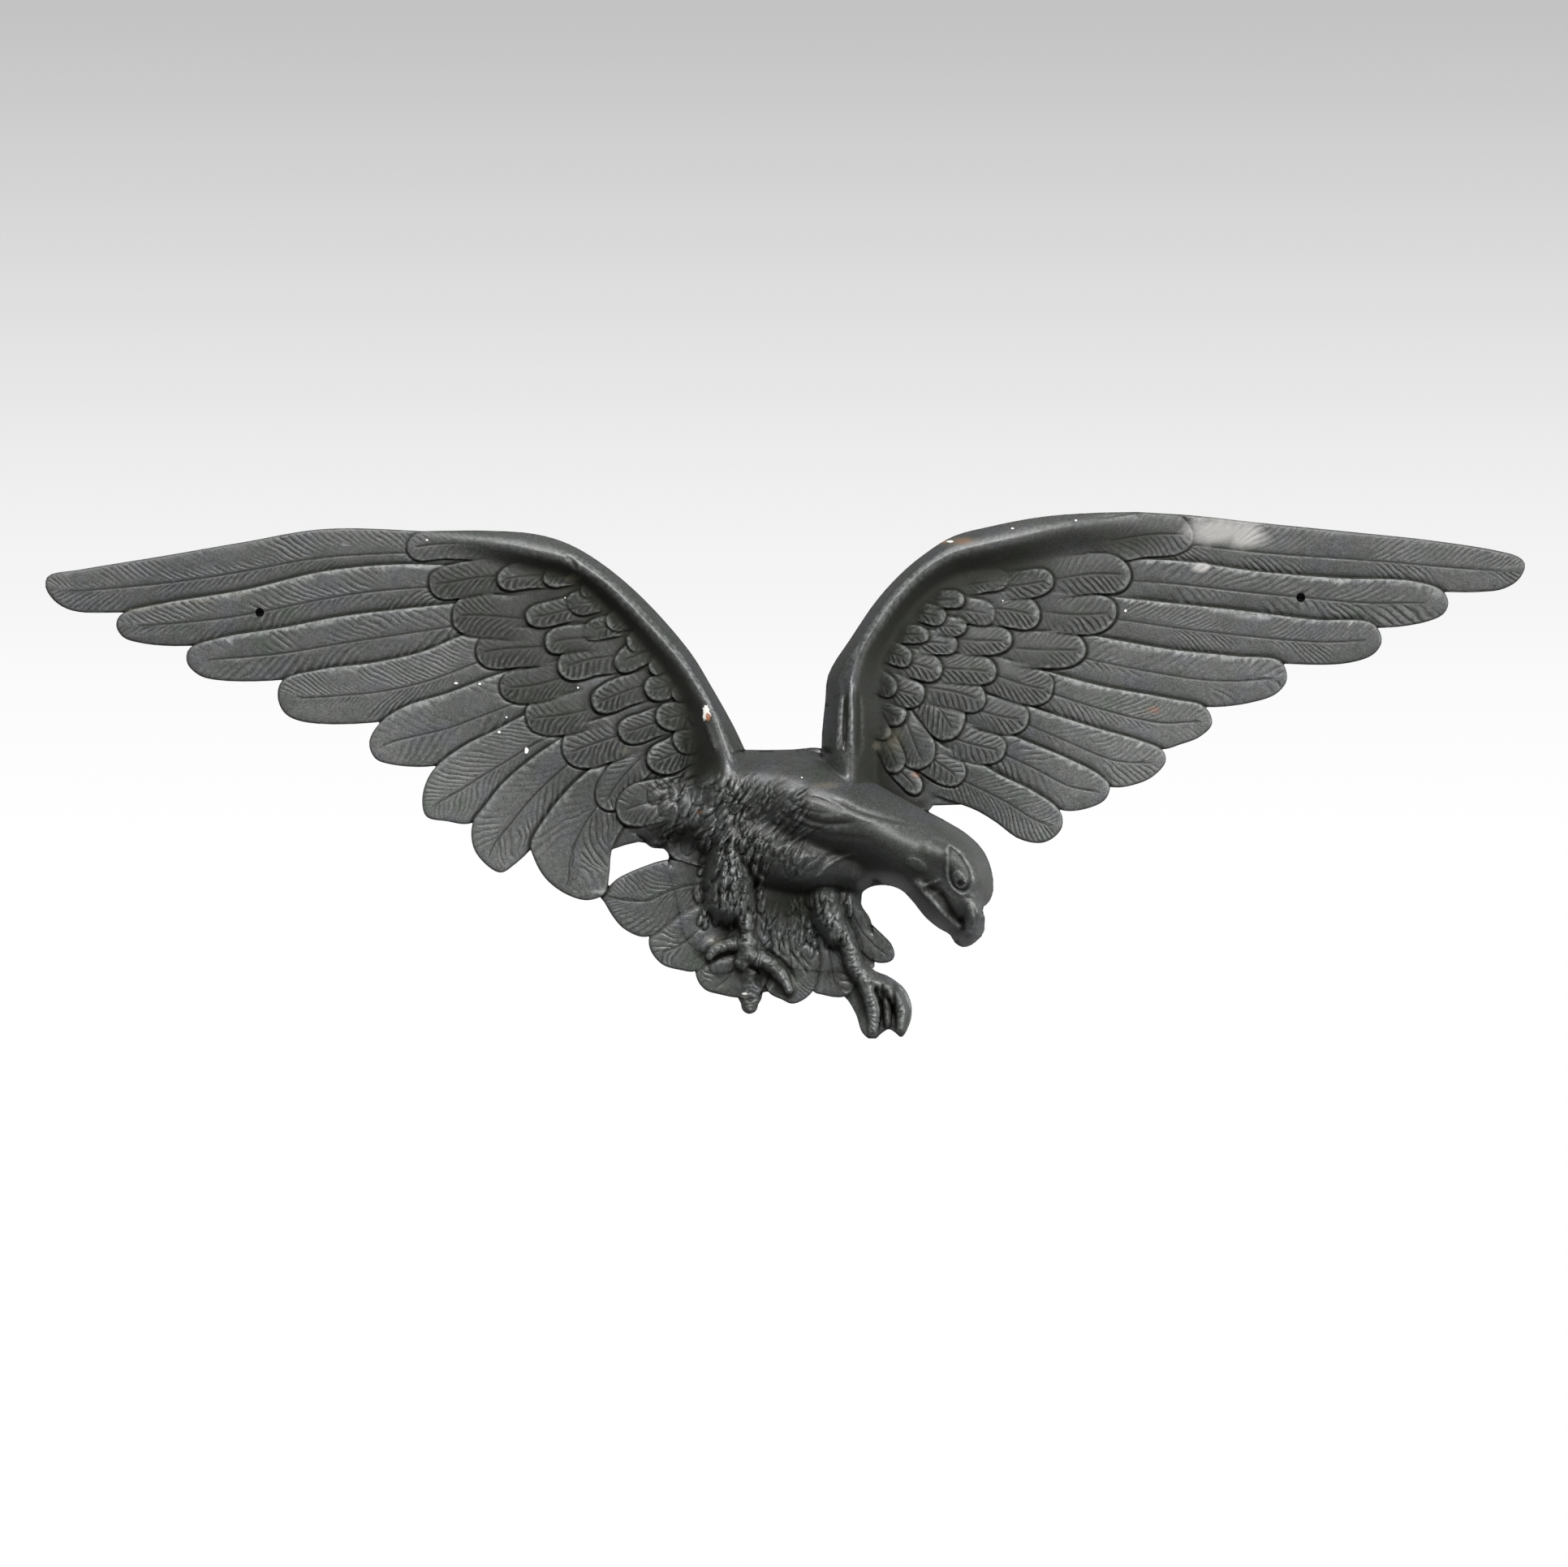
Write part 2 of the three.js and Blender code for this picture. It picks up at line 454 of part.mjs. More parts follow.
// A solid under a surface that is sampled where the lines of a grid cross. Each square of the grid
// is folded along the diagonal that is nearer to level.
function terrain(columns, rows, height) {
  const heights = rows.map((z) => columns.map((x) => height(x, z)));
  const positions = rows.flatMap((z, row) => columns.flatMap((x, column) => [x, -heights[row][column], z]));
  const count = columns.length * rows.length;
  positions.push(...rows.flatMap((z) => columns.flatMap((x) => [x, 0, z])));
  const triangles = [];
  const quad = (a, b, c, d) => triangles.push([a, b, c], [a, c, d]);
  const at = (row, column) => row * columns.length + column;
  for (let row = 0; row + 1 < rows.length; row += 1) {
    for (let column = 0; column + 1 < columns.length; column += 1) {
      const corners = [[row, column], [row, column + 1], [row + 1, column + 1], [row + 1, column]];
      const [a, b, c, d] = corners.map(([r, k]) => at(r, k));
      const [ha, hb, hc, hd] = corners.map(([r, k]) => heights[r][k]);
      if (Math.abs(ha - hc) < Math.abs(hb - hd)) {
        quad(a, b, c, d);
      } else {
        quad(b, c, d, a);
      }
      quad(d + count, c + count, b + count, a + count);
    }
  }
  const wall = (a, b) => quad(a + count, b + count, b, a);
  const lastColumn = columns.length - 1;
  const lastRow = rows.length - 1;
  for (let column = 0; column < lastColumn; column += 1) {
    wall(at(0, column), at(0, column + 1));
    wall(at(lastRow, column + 1), at(lastRow, column));
  }
  for (let row = 0; row < lastRow; row += 1) {
    wall(at(row, lastColumn), at(row + 1, lastColumn));
    wall(at(row + 1, 0), at(row, 0));
  }
  return toManifold(positions, triangles);
}

// A toe or leg: a round bar laid along a route, as wide as its widths say
function limb({ route, width, crest }, ground) {
  const steps = 5;
  const line = smooth(route, steps);
  const left = [];
  const right = [];
  for (let i = 0; i < steps; i += 1) {
    const before = line[Math.max(0, i - 1)];
    const after = line[Math.min(steps - 1, i + 1)];
    const long = Math.hypot(after[0] - before[0], after[1] - before[1]);
    const [dx, dz] = [(after[0] - before[0]) / long, (after[1] - before[1]) / long];
    const half = along(width, i / (steps - 1));
    left.push([line[i][0] - dz * half, line[i][1] + dx * half]);
    right.unshift([line[i][0] + dz * half, line[i][1] - dx * half]);
  }
  const [endX, endZ] = line[steps - 1];
  const [preX, preZ] = line[steps - 2];
  const long = Math.hypot(endX - preX, endZ - preZ);
  const nose = width[width.length - 1] * 0.6;
  const tip = [endX + nose * (endX - preX) / long, endZ + nose * (endZ - preZ) / long];
  return mound([...left, tip, ...right], line, [crest, crest - 3], ground, [0.45]);
}

function fuse(solids) {
  return solids.reduce((whole, solid) => whole.add(solid));
}

// The wings, feather over feather
function wing(primaries, wrist, coverts, edge, crest, heights, plateLower) {
  const solids = primaries.map((outline) => vane(outline, wingHeight));
  solids.push(plate([...edge.slice(0, -1), ...plateLower], (x, z) => wingHeight(x, z) - PLATE_SINK));
  solids.push(vane(wrist, (x, z) => wingHeight(x, z) + 1.6));
  solids.push(...coverts.map((row) => covert(row, wingHeight)));
  solids.push(roll(edge, crest, heights, 18));
  return fuse(solids);
}

function tail() {
  const ground = () => TAIL_HEIGHT;
  const solids = TAIL_FEATHERS.map((outline) => vane(outline, ground, 1.8));
  solids.push(plate(TAIL_PLATE, () => TAIL_HEIGHT - PLATE_SINK));
  return fuse(solids);
}

function feet() {
  const solids = LEGS.map((row) => limb(row, TAIL_HEIGHT + 2));
  const web = smooth(RIGHT_FOOT.concat([RIGHT_FOOT[0]]), 29).slice(0, -1);
  solids.push(plate(web, () => TAIL_HEIGHT));
  solids.push(...RIGHT_TOES.map((row) => limb(row, TAIL_HEIGHT)));
  return fuse(solids);
}

// The body, neck and head, cut to their outline
function body() {
  const outline = smooth(BODY_OUTLINE.concat([BODY_OUTLINE[0]]), BODY_OUTLINE.length * 2 + 1).slice(0, -1);
  const forms = Object.values(FORMS).map((form) => ({ ...form, line: smooth(form.route, FORM_SAMPLES) }));
  const left = Math.min(...outline.map(([x]) => x)) - 1;
  const right = Math.max(...outline.map(([x]) => x)) + 1;
  const low = Math.min(...outline.map(([, z]) => z)) - 1;
  const high = Math.max(...outline.map(([, z]) => z)) + 1;
  const columns = spaced(left, HEAD_START, BODY_SPACING).slice(0, -1)
    .concat(spaced(HEAD_START, right, HEAD_SPACING));
  const surface = terrain(columns, spaced(low, high, HEAD_SPACING), (x, z) => bodyHeight(forms, x, z));
  return surface.intersect(plate(outline, () => 2 * FORMS.neck.crest[0]));
}

// Values from start to end, at most a step apart
function spaced(start, end, step) {
  const count = Math.ceil((end - start) / step);
  return Array.from({ length: count + 1 }, (_, i) => start + (i / count) * (end - start));
}

// The back is hollow, with a boss left round each screw hole
function hollow() {
  const thin = (x, z) => wingHeight(x, z) - PLATE_SINK - WALL;
  const solids = [
    ...WING_HOLLOWS.map((outline) => pocket(outline, thin)),
    ...TAIL_HOLLOWS.map((outline) => pocket(outline, () => TAIL_HEIGHT - PLATE_SINK - WALL)),
    ...DEEP_HOLLOWS.map(({ outline, height }) => pocket(outline, () => height)),
  ];
  return fuse(solids).subtract(fuse(SCREW_HOLES.map((place) => rod(place, BOSS_RADIUS, 14))));
}

function pocket(outline, height) {
  const behind = -1;
  return solidFromLoops([
    outline.map(([x, z]) => [x, behind, z]),
    outline.map(([x, z]) => [x, height(x, z), z]),
  ]);
}

function rod([x, z], radius, sides) {
  const depth = 60;
  const geometry = new THREE.CylinderGeometry(radius, radius, depth, sides);
  geometry.translate(x, 0, z);
  geometry.deleteAttribute("normal");
  geometry.deleteAttribute("uv");
  return toManifold(Array.from(geometry.attributes.position.array), [Array.from(geometry.index.array)]);
}

function casting() {
  const left = wing(LEFT_PRIMARIES, LEFT_WRIST, LEFT_COVERTS, LEFT_EDGE, LEFT_CREST,
    CREST_HEIGHTS.left, LEFT_PLATE_LOWER);
  const right = wing(RIGHT_PRIMARIES, RIGHT_WRIST, RIGHT_COVERTS, RIGHT_EDGE, RIGHT_CREST,
    CREST_HEIGHTS.right, RIGHT_PLATE_LOWER);
  const holes = fuse(SCREW_HOLES.map((place) => rod(place, SCREW_RADIUS, 12)));
  return fuse([left, right, tail(), feet(), body()]).subtract(hollow()).subtract(holes);
}

// Edges shorter than this, and triangles thinner, are taken out of the finished surface
const SHORTEST_EDGE = 0.15;
const THINNEST = 0.02;
const MOST_ROUNDS = 30;

function cornersOf(points, index) {
  return new THREE.Vector3().fromArray(points, 3 * index);
}

// Thickness of a triangle: its height over its longest side, and where that side starts
function thickness(points, triangle) {
  const corners = triangle.map((index) => cornersOf(points, index));
  const sides = corners.map((corner, i) => corner.distanceTo(corners[(i + 1) % 3]));
  const longest = Math.max(...sides);
  const twiceArea = corners[1].clone().sub(corners[0]).cross(corners[2].clone().sub(corners[0])).length();
  return [twiceArea / longest, sides.indexOf(longest)];
}

// Joins the two ends of each very short edge where that leaves the surface closed, and gives the
// triangles that are left. An end on the wall plane stays where it is.
function withoutShortEdges(points, triangles) {
  const around = new Map();
  const join = (a, b) => around.set(a, (around.get(a) || new Set()).add(b));
  for (const [a, b, c] of triangles) {
    [[a, b], [b, c], [c, a]].forEach(([p, q]) => [join(p, q), join(q, p)]);
  }
  const target = new Map();
  const touched = new Set();
  for (const [a, neighbours] of around) {
    for (const b of neighbours) {
      const free = !touched.has(a) && !touched.has(b);
      if (free && cornersOf(points, a).distanceTo(cornersOf(points, b)) < SHORTEST_EDGE) {
        const shared = [...neighbours].filter((other) => around.get(b).has(other));
        if (shared.length === 2) {
          const aIsNearerWall = Math.abs(points[3 * a + 1]) <= Math.abs(points[3 * b + 1]);
          target.set(aIsNearerWall ? b : a, aIsNearerWall ? a : b);
          [a, b, ...neighbours, ...around.get(b)].forEach((index) => touched.add(index));
        }
      }
    }
  }
  return triangles
    .map((triangle) => triangle.map((index) => target.get(index) ?? index))
    .filter(([a, b, c]) => a !== b && b !== c && a !== c);
}

// Turns the longest side of each very thin triangle, so that both triangles beside it get thicker
function withoutNeedles(points, triangles) {
  const key = (a, b) => `${a},${b}`;
  const owner = new Map();
  triangles.forEach(([a, b, c], i) => {
    [[a, b], [b, c], [c, a]].forEach(([p, q]) => owner.set(key(p, q), i));
  });
  const turned = triangles.slice();
  const touched = new Set();
  triangles.forEach((triangle, i) => {
    const [thick, start] = thickness(points, triangle);
    if (thick >= THINNEST) {
      return;
    }
    const [a, b, c] = [0, 1, 2].map((step) => triangle[(start + step) % 3]);
    const other = owner.get(key(b, a));
    const d = triangles[other].find((index) => index !== a && index !== b);
    const known = owner.has(key(c, d)) || owner.has(key(d, c));
    const [first, second] = [[a, d, c], [d, b, c]];
    const better = Math.min(thickness(points, first)[0], thickness(points, second)[0]) > thick;
    if (!known && better && ![a, b, c, d].some((index) => touched.has(index))) {
      turned[i] = first;
      turned[other] = second;
      [a, b, c, d].forEach((index) => touched.add(index));
    }
  });
  return turned;
}

function healed(points, triangles) {
  let kept = triangles;
  for (let round = 0; round < MOST_ROUNDS; round += 1) {
    kept = withoutNeedles(points, withoutShortEdges(points, kept));
  }
  return kept;
}

function toMesh(solid, name, material) {
  const found = solid.getMesh();
  const triangles = Array.from({ length: found.triVerts.length / 3 }, (_, i) => (
    Array.from(found.triVerts.slice(3 * i, 3 * i + 3))));
  const geometry = new THREE.BufferGeometry();
  geometry.setAttribute("position", new THREE.Float32BufferAttribute(found.vertProperties, 3));
  geometry.setIndex(healed(found.vertProperties, triangles).flat());
  geometry.computeVertexNormals();
  const mesh = new THREE.Mesh(geometry, material);
  mesh.name = name;
  return mesh;
}

const blackPaint = new THREE.MeshStandardMaterial({ color: 0x2e302e, roughness: 0.45, metalness: 0.1 });
const plaque = new THREE.Group();
plaque.add(toMesh(casting(), "eagle_casting", blackPaint));
export default plaque;
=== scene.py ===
"""The looks of a cast eagle wall plaque: its feather relief, its old rubbed black paint with painted shade and painted
highlight, and the studio round it.

The casting is one mesh. Its front is a relief: a height over the wall plane for each place on an
even grid, built up the way a pattern carver works, form over form. Lengths in the relief are
millimetres, with x to the right, z up and heights towards the viewer, and the mesh is in metres.
"""

import math

import bpy
import numpy as np
from bpy.props import FloatProperty, FloatVectorProperty, IntProperty, PointerProperty
from bpy.types import Operator, Panel, PropertyGroup
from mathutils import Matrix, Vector


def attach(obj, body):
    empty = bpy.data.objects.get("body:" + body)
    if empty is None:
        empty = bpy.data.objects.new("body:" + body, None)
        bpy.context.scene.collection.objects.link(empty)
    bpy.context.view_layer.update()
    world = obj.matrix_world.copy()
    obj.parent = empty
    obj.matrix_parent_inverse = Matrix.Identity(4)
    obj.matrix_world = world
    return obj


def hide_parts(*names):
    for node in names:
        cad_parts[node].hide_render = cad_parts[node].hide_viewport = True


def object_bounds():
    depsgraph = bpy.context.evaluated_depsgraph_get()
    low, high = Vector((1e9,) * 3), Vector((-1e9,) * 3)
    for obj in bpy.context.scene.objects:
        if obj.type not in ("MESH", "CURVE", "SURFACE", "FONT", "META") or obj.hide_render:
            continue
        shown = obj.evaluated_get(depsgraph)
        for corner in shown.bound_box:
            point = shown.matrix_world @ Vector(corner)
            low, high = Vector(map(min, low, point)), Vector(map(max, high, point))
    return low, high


bl_info = {
    "name": "Cast eagle wall plaque",
    "version": (1, 0, 0),
    "blender": (4, 5, 0),
    "location": "View3D > Sidebar > Eagle",
    "description": "Makes the relief, the paint and the studio of a cast eagle wall plaque",
    "category": "Object",
}

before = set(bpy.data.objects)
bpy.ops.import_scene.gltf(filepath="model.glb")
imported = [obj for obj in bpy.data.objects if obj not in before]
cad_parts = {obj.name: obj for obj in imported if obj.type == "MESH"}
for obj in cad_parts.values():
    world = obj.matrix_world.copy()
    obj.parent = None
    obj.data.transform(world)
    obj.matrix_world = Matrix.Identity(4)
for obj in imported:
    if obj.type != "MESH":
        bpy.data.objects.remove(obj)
CAD_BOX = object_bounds()

MM = 0.001
FAR = 1e3
MARGIN = 6.0
HALF_SPAN = 375.0
TIP_HEIGHT = 7.0
ROOT_HEIGHT = 13.0
SHOULDER_HEIGHT = 9.0
TAIL_HEIGHT = 9.0
TORSO_BLEND = 3.0
HEAD_BLEND = 2.4
FORM_FLOOR = 5.0
FORM_ROUNDNESS = 0.62
SCREW_HOLES = [(-264, -3.5), (264, 4)]
SCREW_RADIUS = 2.3
BOSS_RADIUS = 8.0
HOLE_ROUNDING = 0.4
# A thin disc of the black paint in each screw hole, a dark sheet standing in for the shade seen through the hole: its
# radius, its front and back faces before the wall plane, and its sides.
SHADE_DISC_RADIUS = 2.6
SHADE_DISC_FRONT = -1.4
SHADE_DISC_BACK = -0.2
SHADE_DISC_SIDES = 24
BODY_ROUNDING = 8.0
BODY_BLEND = 2.5
LIMB_BLEND = 1.3
VALLEY_SHARE = 1.1
VALLEY_DEPTH = 2.4
WRIST_FADE = 45.0
WRIST_FLATNESS = 0.75
# Painted shade, also made matt: its strength on the left and right coverts and in the valley behind each roll, its
# share on the wrist feathers, and the distances from the crest within which it is whole and beyond which it is gone
LEFT_COVERT_SHADE = 0.66
RIGHT_COVERT_SHADE = 0.46
ROLL_VALLEY_SHADE = 0.88
WRIST_SHADE_SHARE = 0.3
VALLEY_SHADE_REACH = (15.0, 38.0)
BARB_BEND = 0.75
VANE_SLANT = 1.5
# The painted shade on coverts falls to this share on the lowest ones, growing to whole between these heights, and its
# strength along the grooves round feathers
LOW_COVERT_SHADE = 0.25
LOW_COVERT_SHADE_SPAN = (-100.0, -40.0)
EDGE_GROOVE_SHADE = 0.95
HAIR_SHARE = 1.6
SHAFT_REACH = 30.0
SCALE_PITCH = 2.4
SCALE_DEPTH = 0.85
KNOB_HEIGHT = 0.9
HOLLOW_LIMIT = 22.0
FRAME_CENTRE = (0.0019, -0.0903)
FLOOR = -0.75
BACKDROP_RADIUS = 9.0
# Distances from the middle plane between which the paint turns from dark to chalky
CHALK_SPAN = (0.03, 0.17)
# Heights between which the backdrop's glow changes, painted light that is white low down and pale grey higher up, and
# the glow's tone at shares of that height
BACKDROP_SPAN = (-0.16, 0.94)
BACKDROP_TONES = [(0.0, 1.0), (0.14, 0.973), (0.41, 0.863), (0.68, 0.701), (0.91, 0.565), (1.0, 0.53)]

# Flight feathers of each wing, from the outermost inwards, each over the one before it: the
# outline from the root along the upper edge, round the tip and back along the lower edge
LEFT_PRIMARIES = [
    [(-165, 37), (-231, 38.8), (-272, 32.2), (-314, 25), (-355, 18.3), (-371.5, 15), (-373, 10),
     (-368.5, 2.5), (-359.5, -2.5), (-337.5, -3.5), (-293, -1), (-231, 10), (-165, 18)],
    [(-149, 19), (-190, 21), (-231, 17.5), (-272, 8), (-314, 1), (-334.5, -4.5), (-337, -10),
     (-333.5, -16), (-324.5, -19), (-303, -20.5), (-260, -16), (-202, -5.5), (-149, 0.5)],
    [(-141, 3.5), (-190, -1.5), (-223, -5.5), (-252, -11), (-285, -16.5), (-300, -22), (-301, -29),
     (-295.5, -35), (-288, -37.5), (-257, -38), (-211, -31), (-145, -18)],
    [(-132, -7.5), (-161, -15), (-182, -23.5), (-207, -29), (-231, -32), (-252.5, -38), (-255, -46),
     (-251.5, -54.5), (-242, -59), (-203, -59), (-165, -50), (-128, -34)],
    [(-120, -28), (-145, -35.5), (-169, -44.5), (-190, -51), (-203, -59.5), (-208.5, -69.5),
     (-205.5, -77.5), (-198, -80.5), (-176, -81.5), (-149, -73.5), (-116, -59)],
    [(-108, -50), (-128, -55), (-145, -63.5), (-161, -71.5), (-176.5, -84), (-181.5, -97),
     (-179.5, -107), (-169, -109.5), (-157, -110.5), (-132, -94), (-108, -75)],
    [(-101, -61), (-124, -76), (-141, -90.5), (-149, -100.5), (-156, -110.5), (-155.5, -123),
     (-148, -132.5), (-141.5, -135.5), (-135, -131.5), (-126, -123), (-112, -104), (-97, -86)],
    [(-87, -75), (-106, -91.5), (-118, -106), (-126.5, -121), (-125, -128), (-119, -138.5),
     (-108.5, -146.5), (-97.5, -149.5), (-89, -146), (-86.8, -136), (-85.5, -124), (-77, -108),
     (-70, -96)],
]
RIGHT_PRIMARIES = [
    [(181, 47.5), (210, 45.6), (241, 42.2), (295, 36.8), (329, 33.2), (364, 27.8), (375, 24.5),
     (378, 21), (375, 13.5), (367, 8.5), (356, 7), (337, 7), (304, 9), (242, 12), (181, 20)],
    [(172, 24), (205, 22.5), (242, 17.5), (284, 14), (321, 12.5), (336, 7.5), (339, 1.5),
     (336.8, -4), (328, -8.2), (303, -11.3), (263, -7), (214, -2.5), (172, 2.5)],
    [(160, 5.5), (197, 1.5), (234, -2.5), (271, -7), (300.5, -9), (305.2, -17.5), (301.5, -24.3),
     (289, -29), (256, -29.5), (209, -25), (160, -16)],
    [(152, -14), (197, -22), (230, -25.5), (254, -28.5), (257, -37.5), (252, -44.5), (240, -49),
     (216, -51.5), (181, -45.5), (139, -36)],
    [(115, -28), (139, -34.5), (164, -41), (197, -47), (215.5, -51.5), (219, -60), (213, -66.5),
     (203, -70.5), (193, -73), (160, -63.5), (123, -49)],
    [(115, -47), (132, -53), (160, -62), (181, -68), (194, -73.5), (195.5, -79), (190, -86),
     (181, -90.5), (167, -92), (139, -77.5), (110, -63)],
    [(104, -60), (124, -68.5), (148, -78.5), (162, -86), (167, -91.5), (165.5, -97.5), (160, -101.5),
     (143.5, -104), (123, -92), (98, -80)],
    [(90, -71), (108, -84), (129, -94.5), (142, -104.5), (143, -112), (139, -117.5), (132, -120.5),
     (121, -118.3), (109.5, -110), (99.5, -104), (86, -99), (69, -93)],
]

# The feathers at each wrist, laid like the coverts below
LEFT_WRIST = [(-189.5, 30, 181, 62, 17)]
RIGHT_WRIST = [(209, 35.5, 2, 68, 23)]

# Covert feathers, each over the ones before it: tip x, tip z, heading of the tip in degrees
# from +X, length and width
LEFT_COVERTS = [
    (-90.5, -102.5, 232, 40, 19), (-82.5, -106, 197, 45, 21.5), (-109, -77.5, 205, 40, 21.5),
    (-128.5, -59, 193, 38, 18.5), (-142, -42.5, 190, 40, 17),
    (-67, -80.5, 205, 27, 18), (-82.5, -64, 192, 30, 16), (-96, -49, 195, 36, 17.5),
    (-84, -30, 200, 26, 14.5), (-112.5, -32.5, 194, 37, 18.5), (-154, -25.5, 190, 46, 19.5),
    (-52.5, -73, 215, 20, 14.5), (-62.5, -59, 198, 22, 14), (-68.5, -44, 200, 22, 13.5),
    (-46, -59, 214, 16, 11), (-55, -46, 208, 16, 11), (-66.5, -32.5, 206, 17, 11),
    (-99.5, -14, 192, 25, 12.5), (-119.5, -20, 190, 31, 14), (-166.5, -6.5, 182, 44, 21.5),
    (-77, -21, 204, 17, 11), (-88, -10, 200, 17, 10.5), (-108, 0.5, 190, 22, 12.5),
    (-129, -5.5, 187, 31, 13.5), (-178.5, 12, 183, 44, 20), (-143.5, 14, 182, 32, 15.5),
    (-120, 14, 184, 22, 12.5), (-101, 6.5, 196, 16, 10),
]
RIGHT_COVERTS = [
    (70, -95.5, 308, 26, 11), (91, -90, 318, 34, 20), (113.5, -75.5, 340, 36, 20.5),
    (126, -58.5, 347, 39, 19), (138.5, -42.5, 348, 40, 19),
    (74.5, -81.5, 298, 32, 18), (61, -84, 300, 22, 11), (89.5, -66, 307, 34, 21.5),
    (103.5, -49.5, 343, 36, 17.5), (109, -35.5, 350, 36, 17), (154.5, -24.5, 353, 43, 21.5),
    (62.5, -59, 325, 18, 15.5), (54, -68, 300, 16, 10), (73, -45.5, 348, 22, 14.5), (59, -43, 335, 15, 11),
    (82, -33, 350, 24, 14), (66.5, -28, 343, 16, 11), (89.5, -21, 352, 24, 13),
    (75, -16.5, 350, 17, 11), (117, -19.5, 352, 32, 17), (170.5, -4.5, 357, 44, 22),
    (94.5, -11, 355, 20, 10.5), (84, -5.5, 352, 17, 10), (109, -4, 356, 22, 12.5),
    (131.5, -4.5, 355, 31, 17), (177.5, 15.5, 2, 45, 20.5), (93, 2, 356, 18, 10),
    (116, 12.5, 2, 24, 12.5), (138.5, 12, 3, 32, 16),
]

# The rolled front edge of each wing: the outline, the crest behind it and the crest's heights
LEFT_EDGE = [(-190.5, 37.5), (-165, 38), (-149, 38), (-124.5, 36.3), (-108, 31.5), (-91.5, 22),
             (-70.5, 4.5), (-46, -23.2), (-34.4, -42), (-23.2, -62), (-18, -73), (-9, -90),
             (-3, -106)]
LEFT_CREST = [(-184, 35), (-141, 31), (-124.5, 27.5), (-108, 23.5), (-95.5, 16.5), (-83, 6.5),
              (-66.5, -10.5), (-50, -29.5), (-42, -41.5), (-35.5, -53), (-31, -67), (-26, -84),
              (-21, -100)]
RIGHT_EDGE = [(181, 47.5), (158.5, 47), (132.5, 45), (106, 40), (87.5, 35), (73, 26), (61, 16),
              (48, 1.5), (35.5, -17), (26.5, -30.5), (23.8, -37), (22.8, -49), (21.4, -62),
              (21, -72.5), (23, -90), (26, -106)]
RIGHT_CREST = [(189, 42), (165, 40.5), (145.5, 39.5), (119.5, 34), (99.5, 29.5), (86.5, 26),
               (72, 17), (59, 4), (48.5, -10.5), (40, -25), (36, -42.5), (35.5, -58), (34.5, -75),
               (35, -92), (38, -108)]
LEFT_CREST_HEIGHTS = (11, 30)
RIGHT_CREST_HEIGHTS = (11, 32)

# The lower edge of the plain plate below the coverts
LEFT_PLATE_LOWER = [(-0.5, -104), (-25, -137), (-54, -128.5), (-57, -125.5), (-59, -123.5),
                    (-64.5, -123), (-68, -120.5), (-72, -120), (-78.5, -121.5), (-86, -124),
                    (-99, -121), (-132, -88), (-165, -42), (-188, -9)]
RIGHT_PLATE_LOWER = [(7.5, -100), (40, -121), (61, -108.5), (75, -104.5), (77.5, -101.5),
                     (94, -101), (100.5, -103), (123, -96), (152, -75), (181, -42), (190, -5)]

# Tail feathers, the outer ones over the inner
TAIL_PLATE = [(-57, -129), (-33, -131), (32, -137), (41.5, -145), (41, -153), (46, -164),
              (48, -183), (38, -193), (32, -198), (21.5, -197.5), (16.5, -195.5), (-7, -196),
              (-21, -199), (-41, -185), (-64.5, -167), (-66, -145)]
TAIL_FEATHERS = [
    [(5, -150), (12, -178), (16.5, -195.5), (21.5, -197.5), (32, -198.5), (38, -193), (37, -170),
     (28, -150)],
    [(-7, -150), (-9.5, -178), (-6, -196), (1, -200), (5.5, -202), (10, -201), (16.5, -195.5),
     (20, -178), (12, -150)],
    [(-25, -150), (-37, -170.5), (-43, -183), (-42, -190), (-38, -195), (-30, -197.5), (-21, -199),
     (-11, -197.5), (-4, -178), (-9, -150)],
    [(-25, -138), (-46, -150), (-60, -160), (-66.3, -167.5), (-66, -174.5), (-60, -182),
     (-50.5, -185), (-43, -185.5), (-31, -174), (-18, -150)],
    [(-28, -133), (-57, -129), (-69.5, -132.5), (-80, -137), (-83.5, -139.2), (-86.5, -142),
     (-92, -146.2), (-89, -151), (-85.5, -157), (-80, -163.5), (-71, -168), (-65.5, -167.5),
     (-50, -156), (-28, -146)],
    [(32, -141), (41.5, -153), (45.5, -160.5), (51.5, -166.5), (56.5, -172), (58, -177.5),
     (56, -180.5), (48.5, -181), (40, -174), (32, -158)],
]

# The outline of the body, neck and head
BODY_OUTLINE = [(-30, -76), (-18.5, -73.3), (-8, -73.3), (6, -73), (20, -72.3), (30, -77),
                (40, -84.5), (53, -93), (75, -104.5), (83.5, -109), (95.5, -116.5), (103.5, -125),
                (107.5, -135.5), (108, -145), (106, -150.5), (103, -153), (103.5, -158.5),
                (103.5, -165), (100, -170), (93.5, -173.5), (89, -171.5), (86, -167), (80, -163.5),
                (73.5, -158), (67.5, -150.5), (61.5, -144.5), (54, -142), (46, -142.8),
                (41.5, -146), (41.3, -152), (46, -160), (46, -182), (-8, -182), (-45, -172),
                (-52, -150), (-57, -129), (-56.5, -126.8), (-59, -123.5), (-65, -123), (-70, -119),
                (-78, -110), (-70, -88), (-48, -80)]

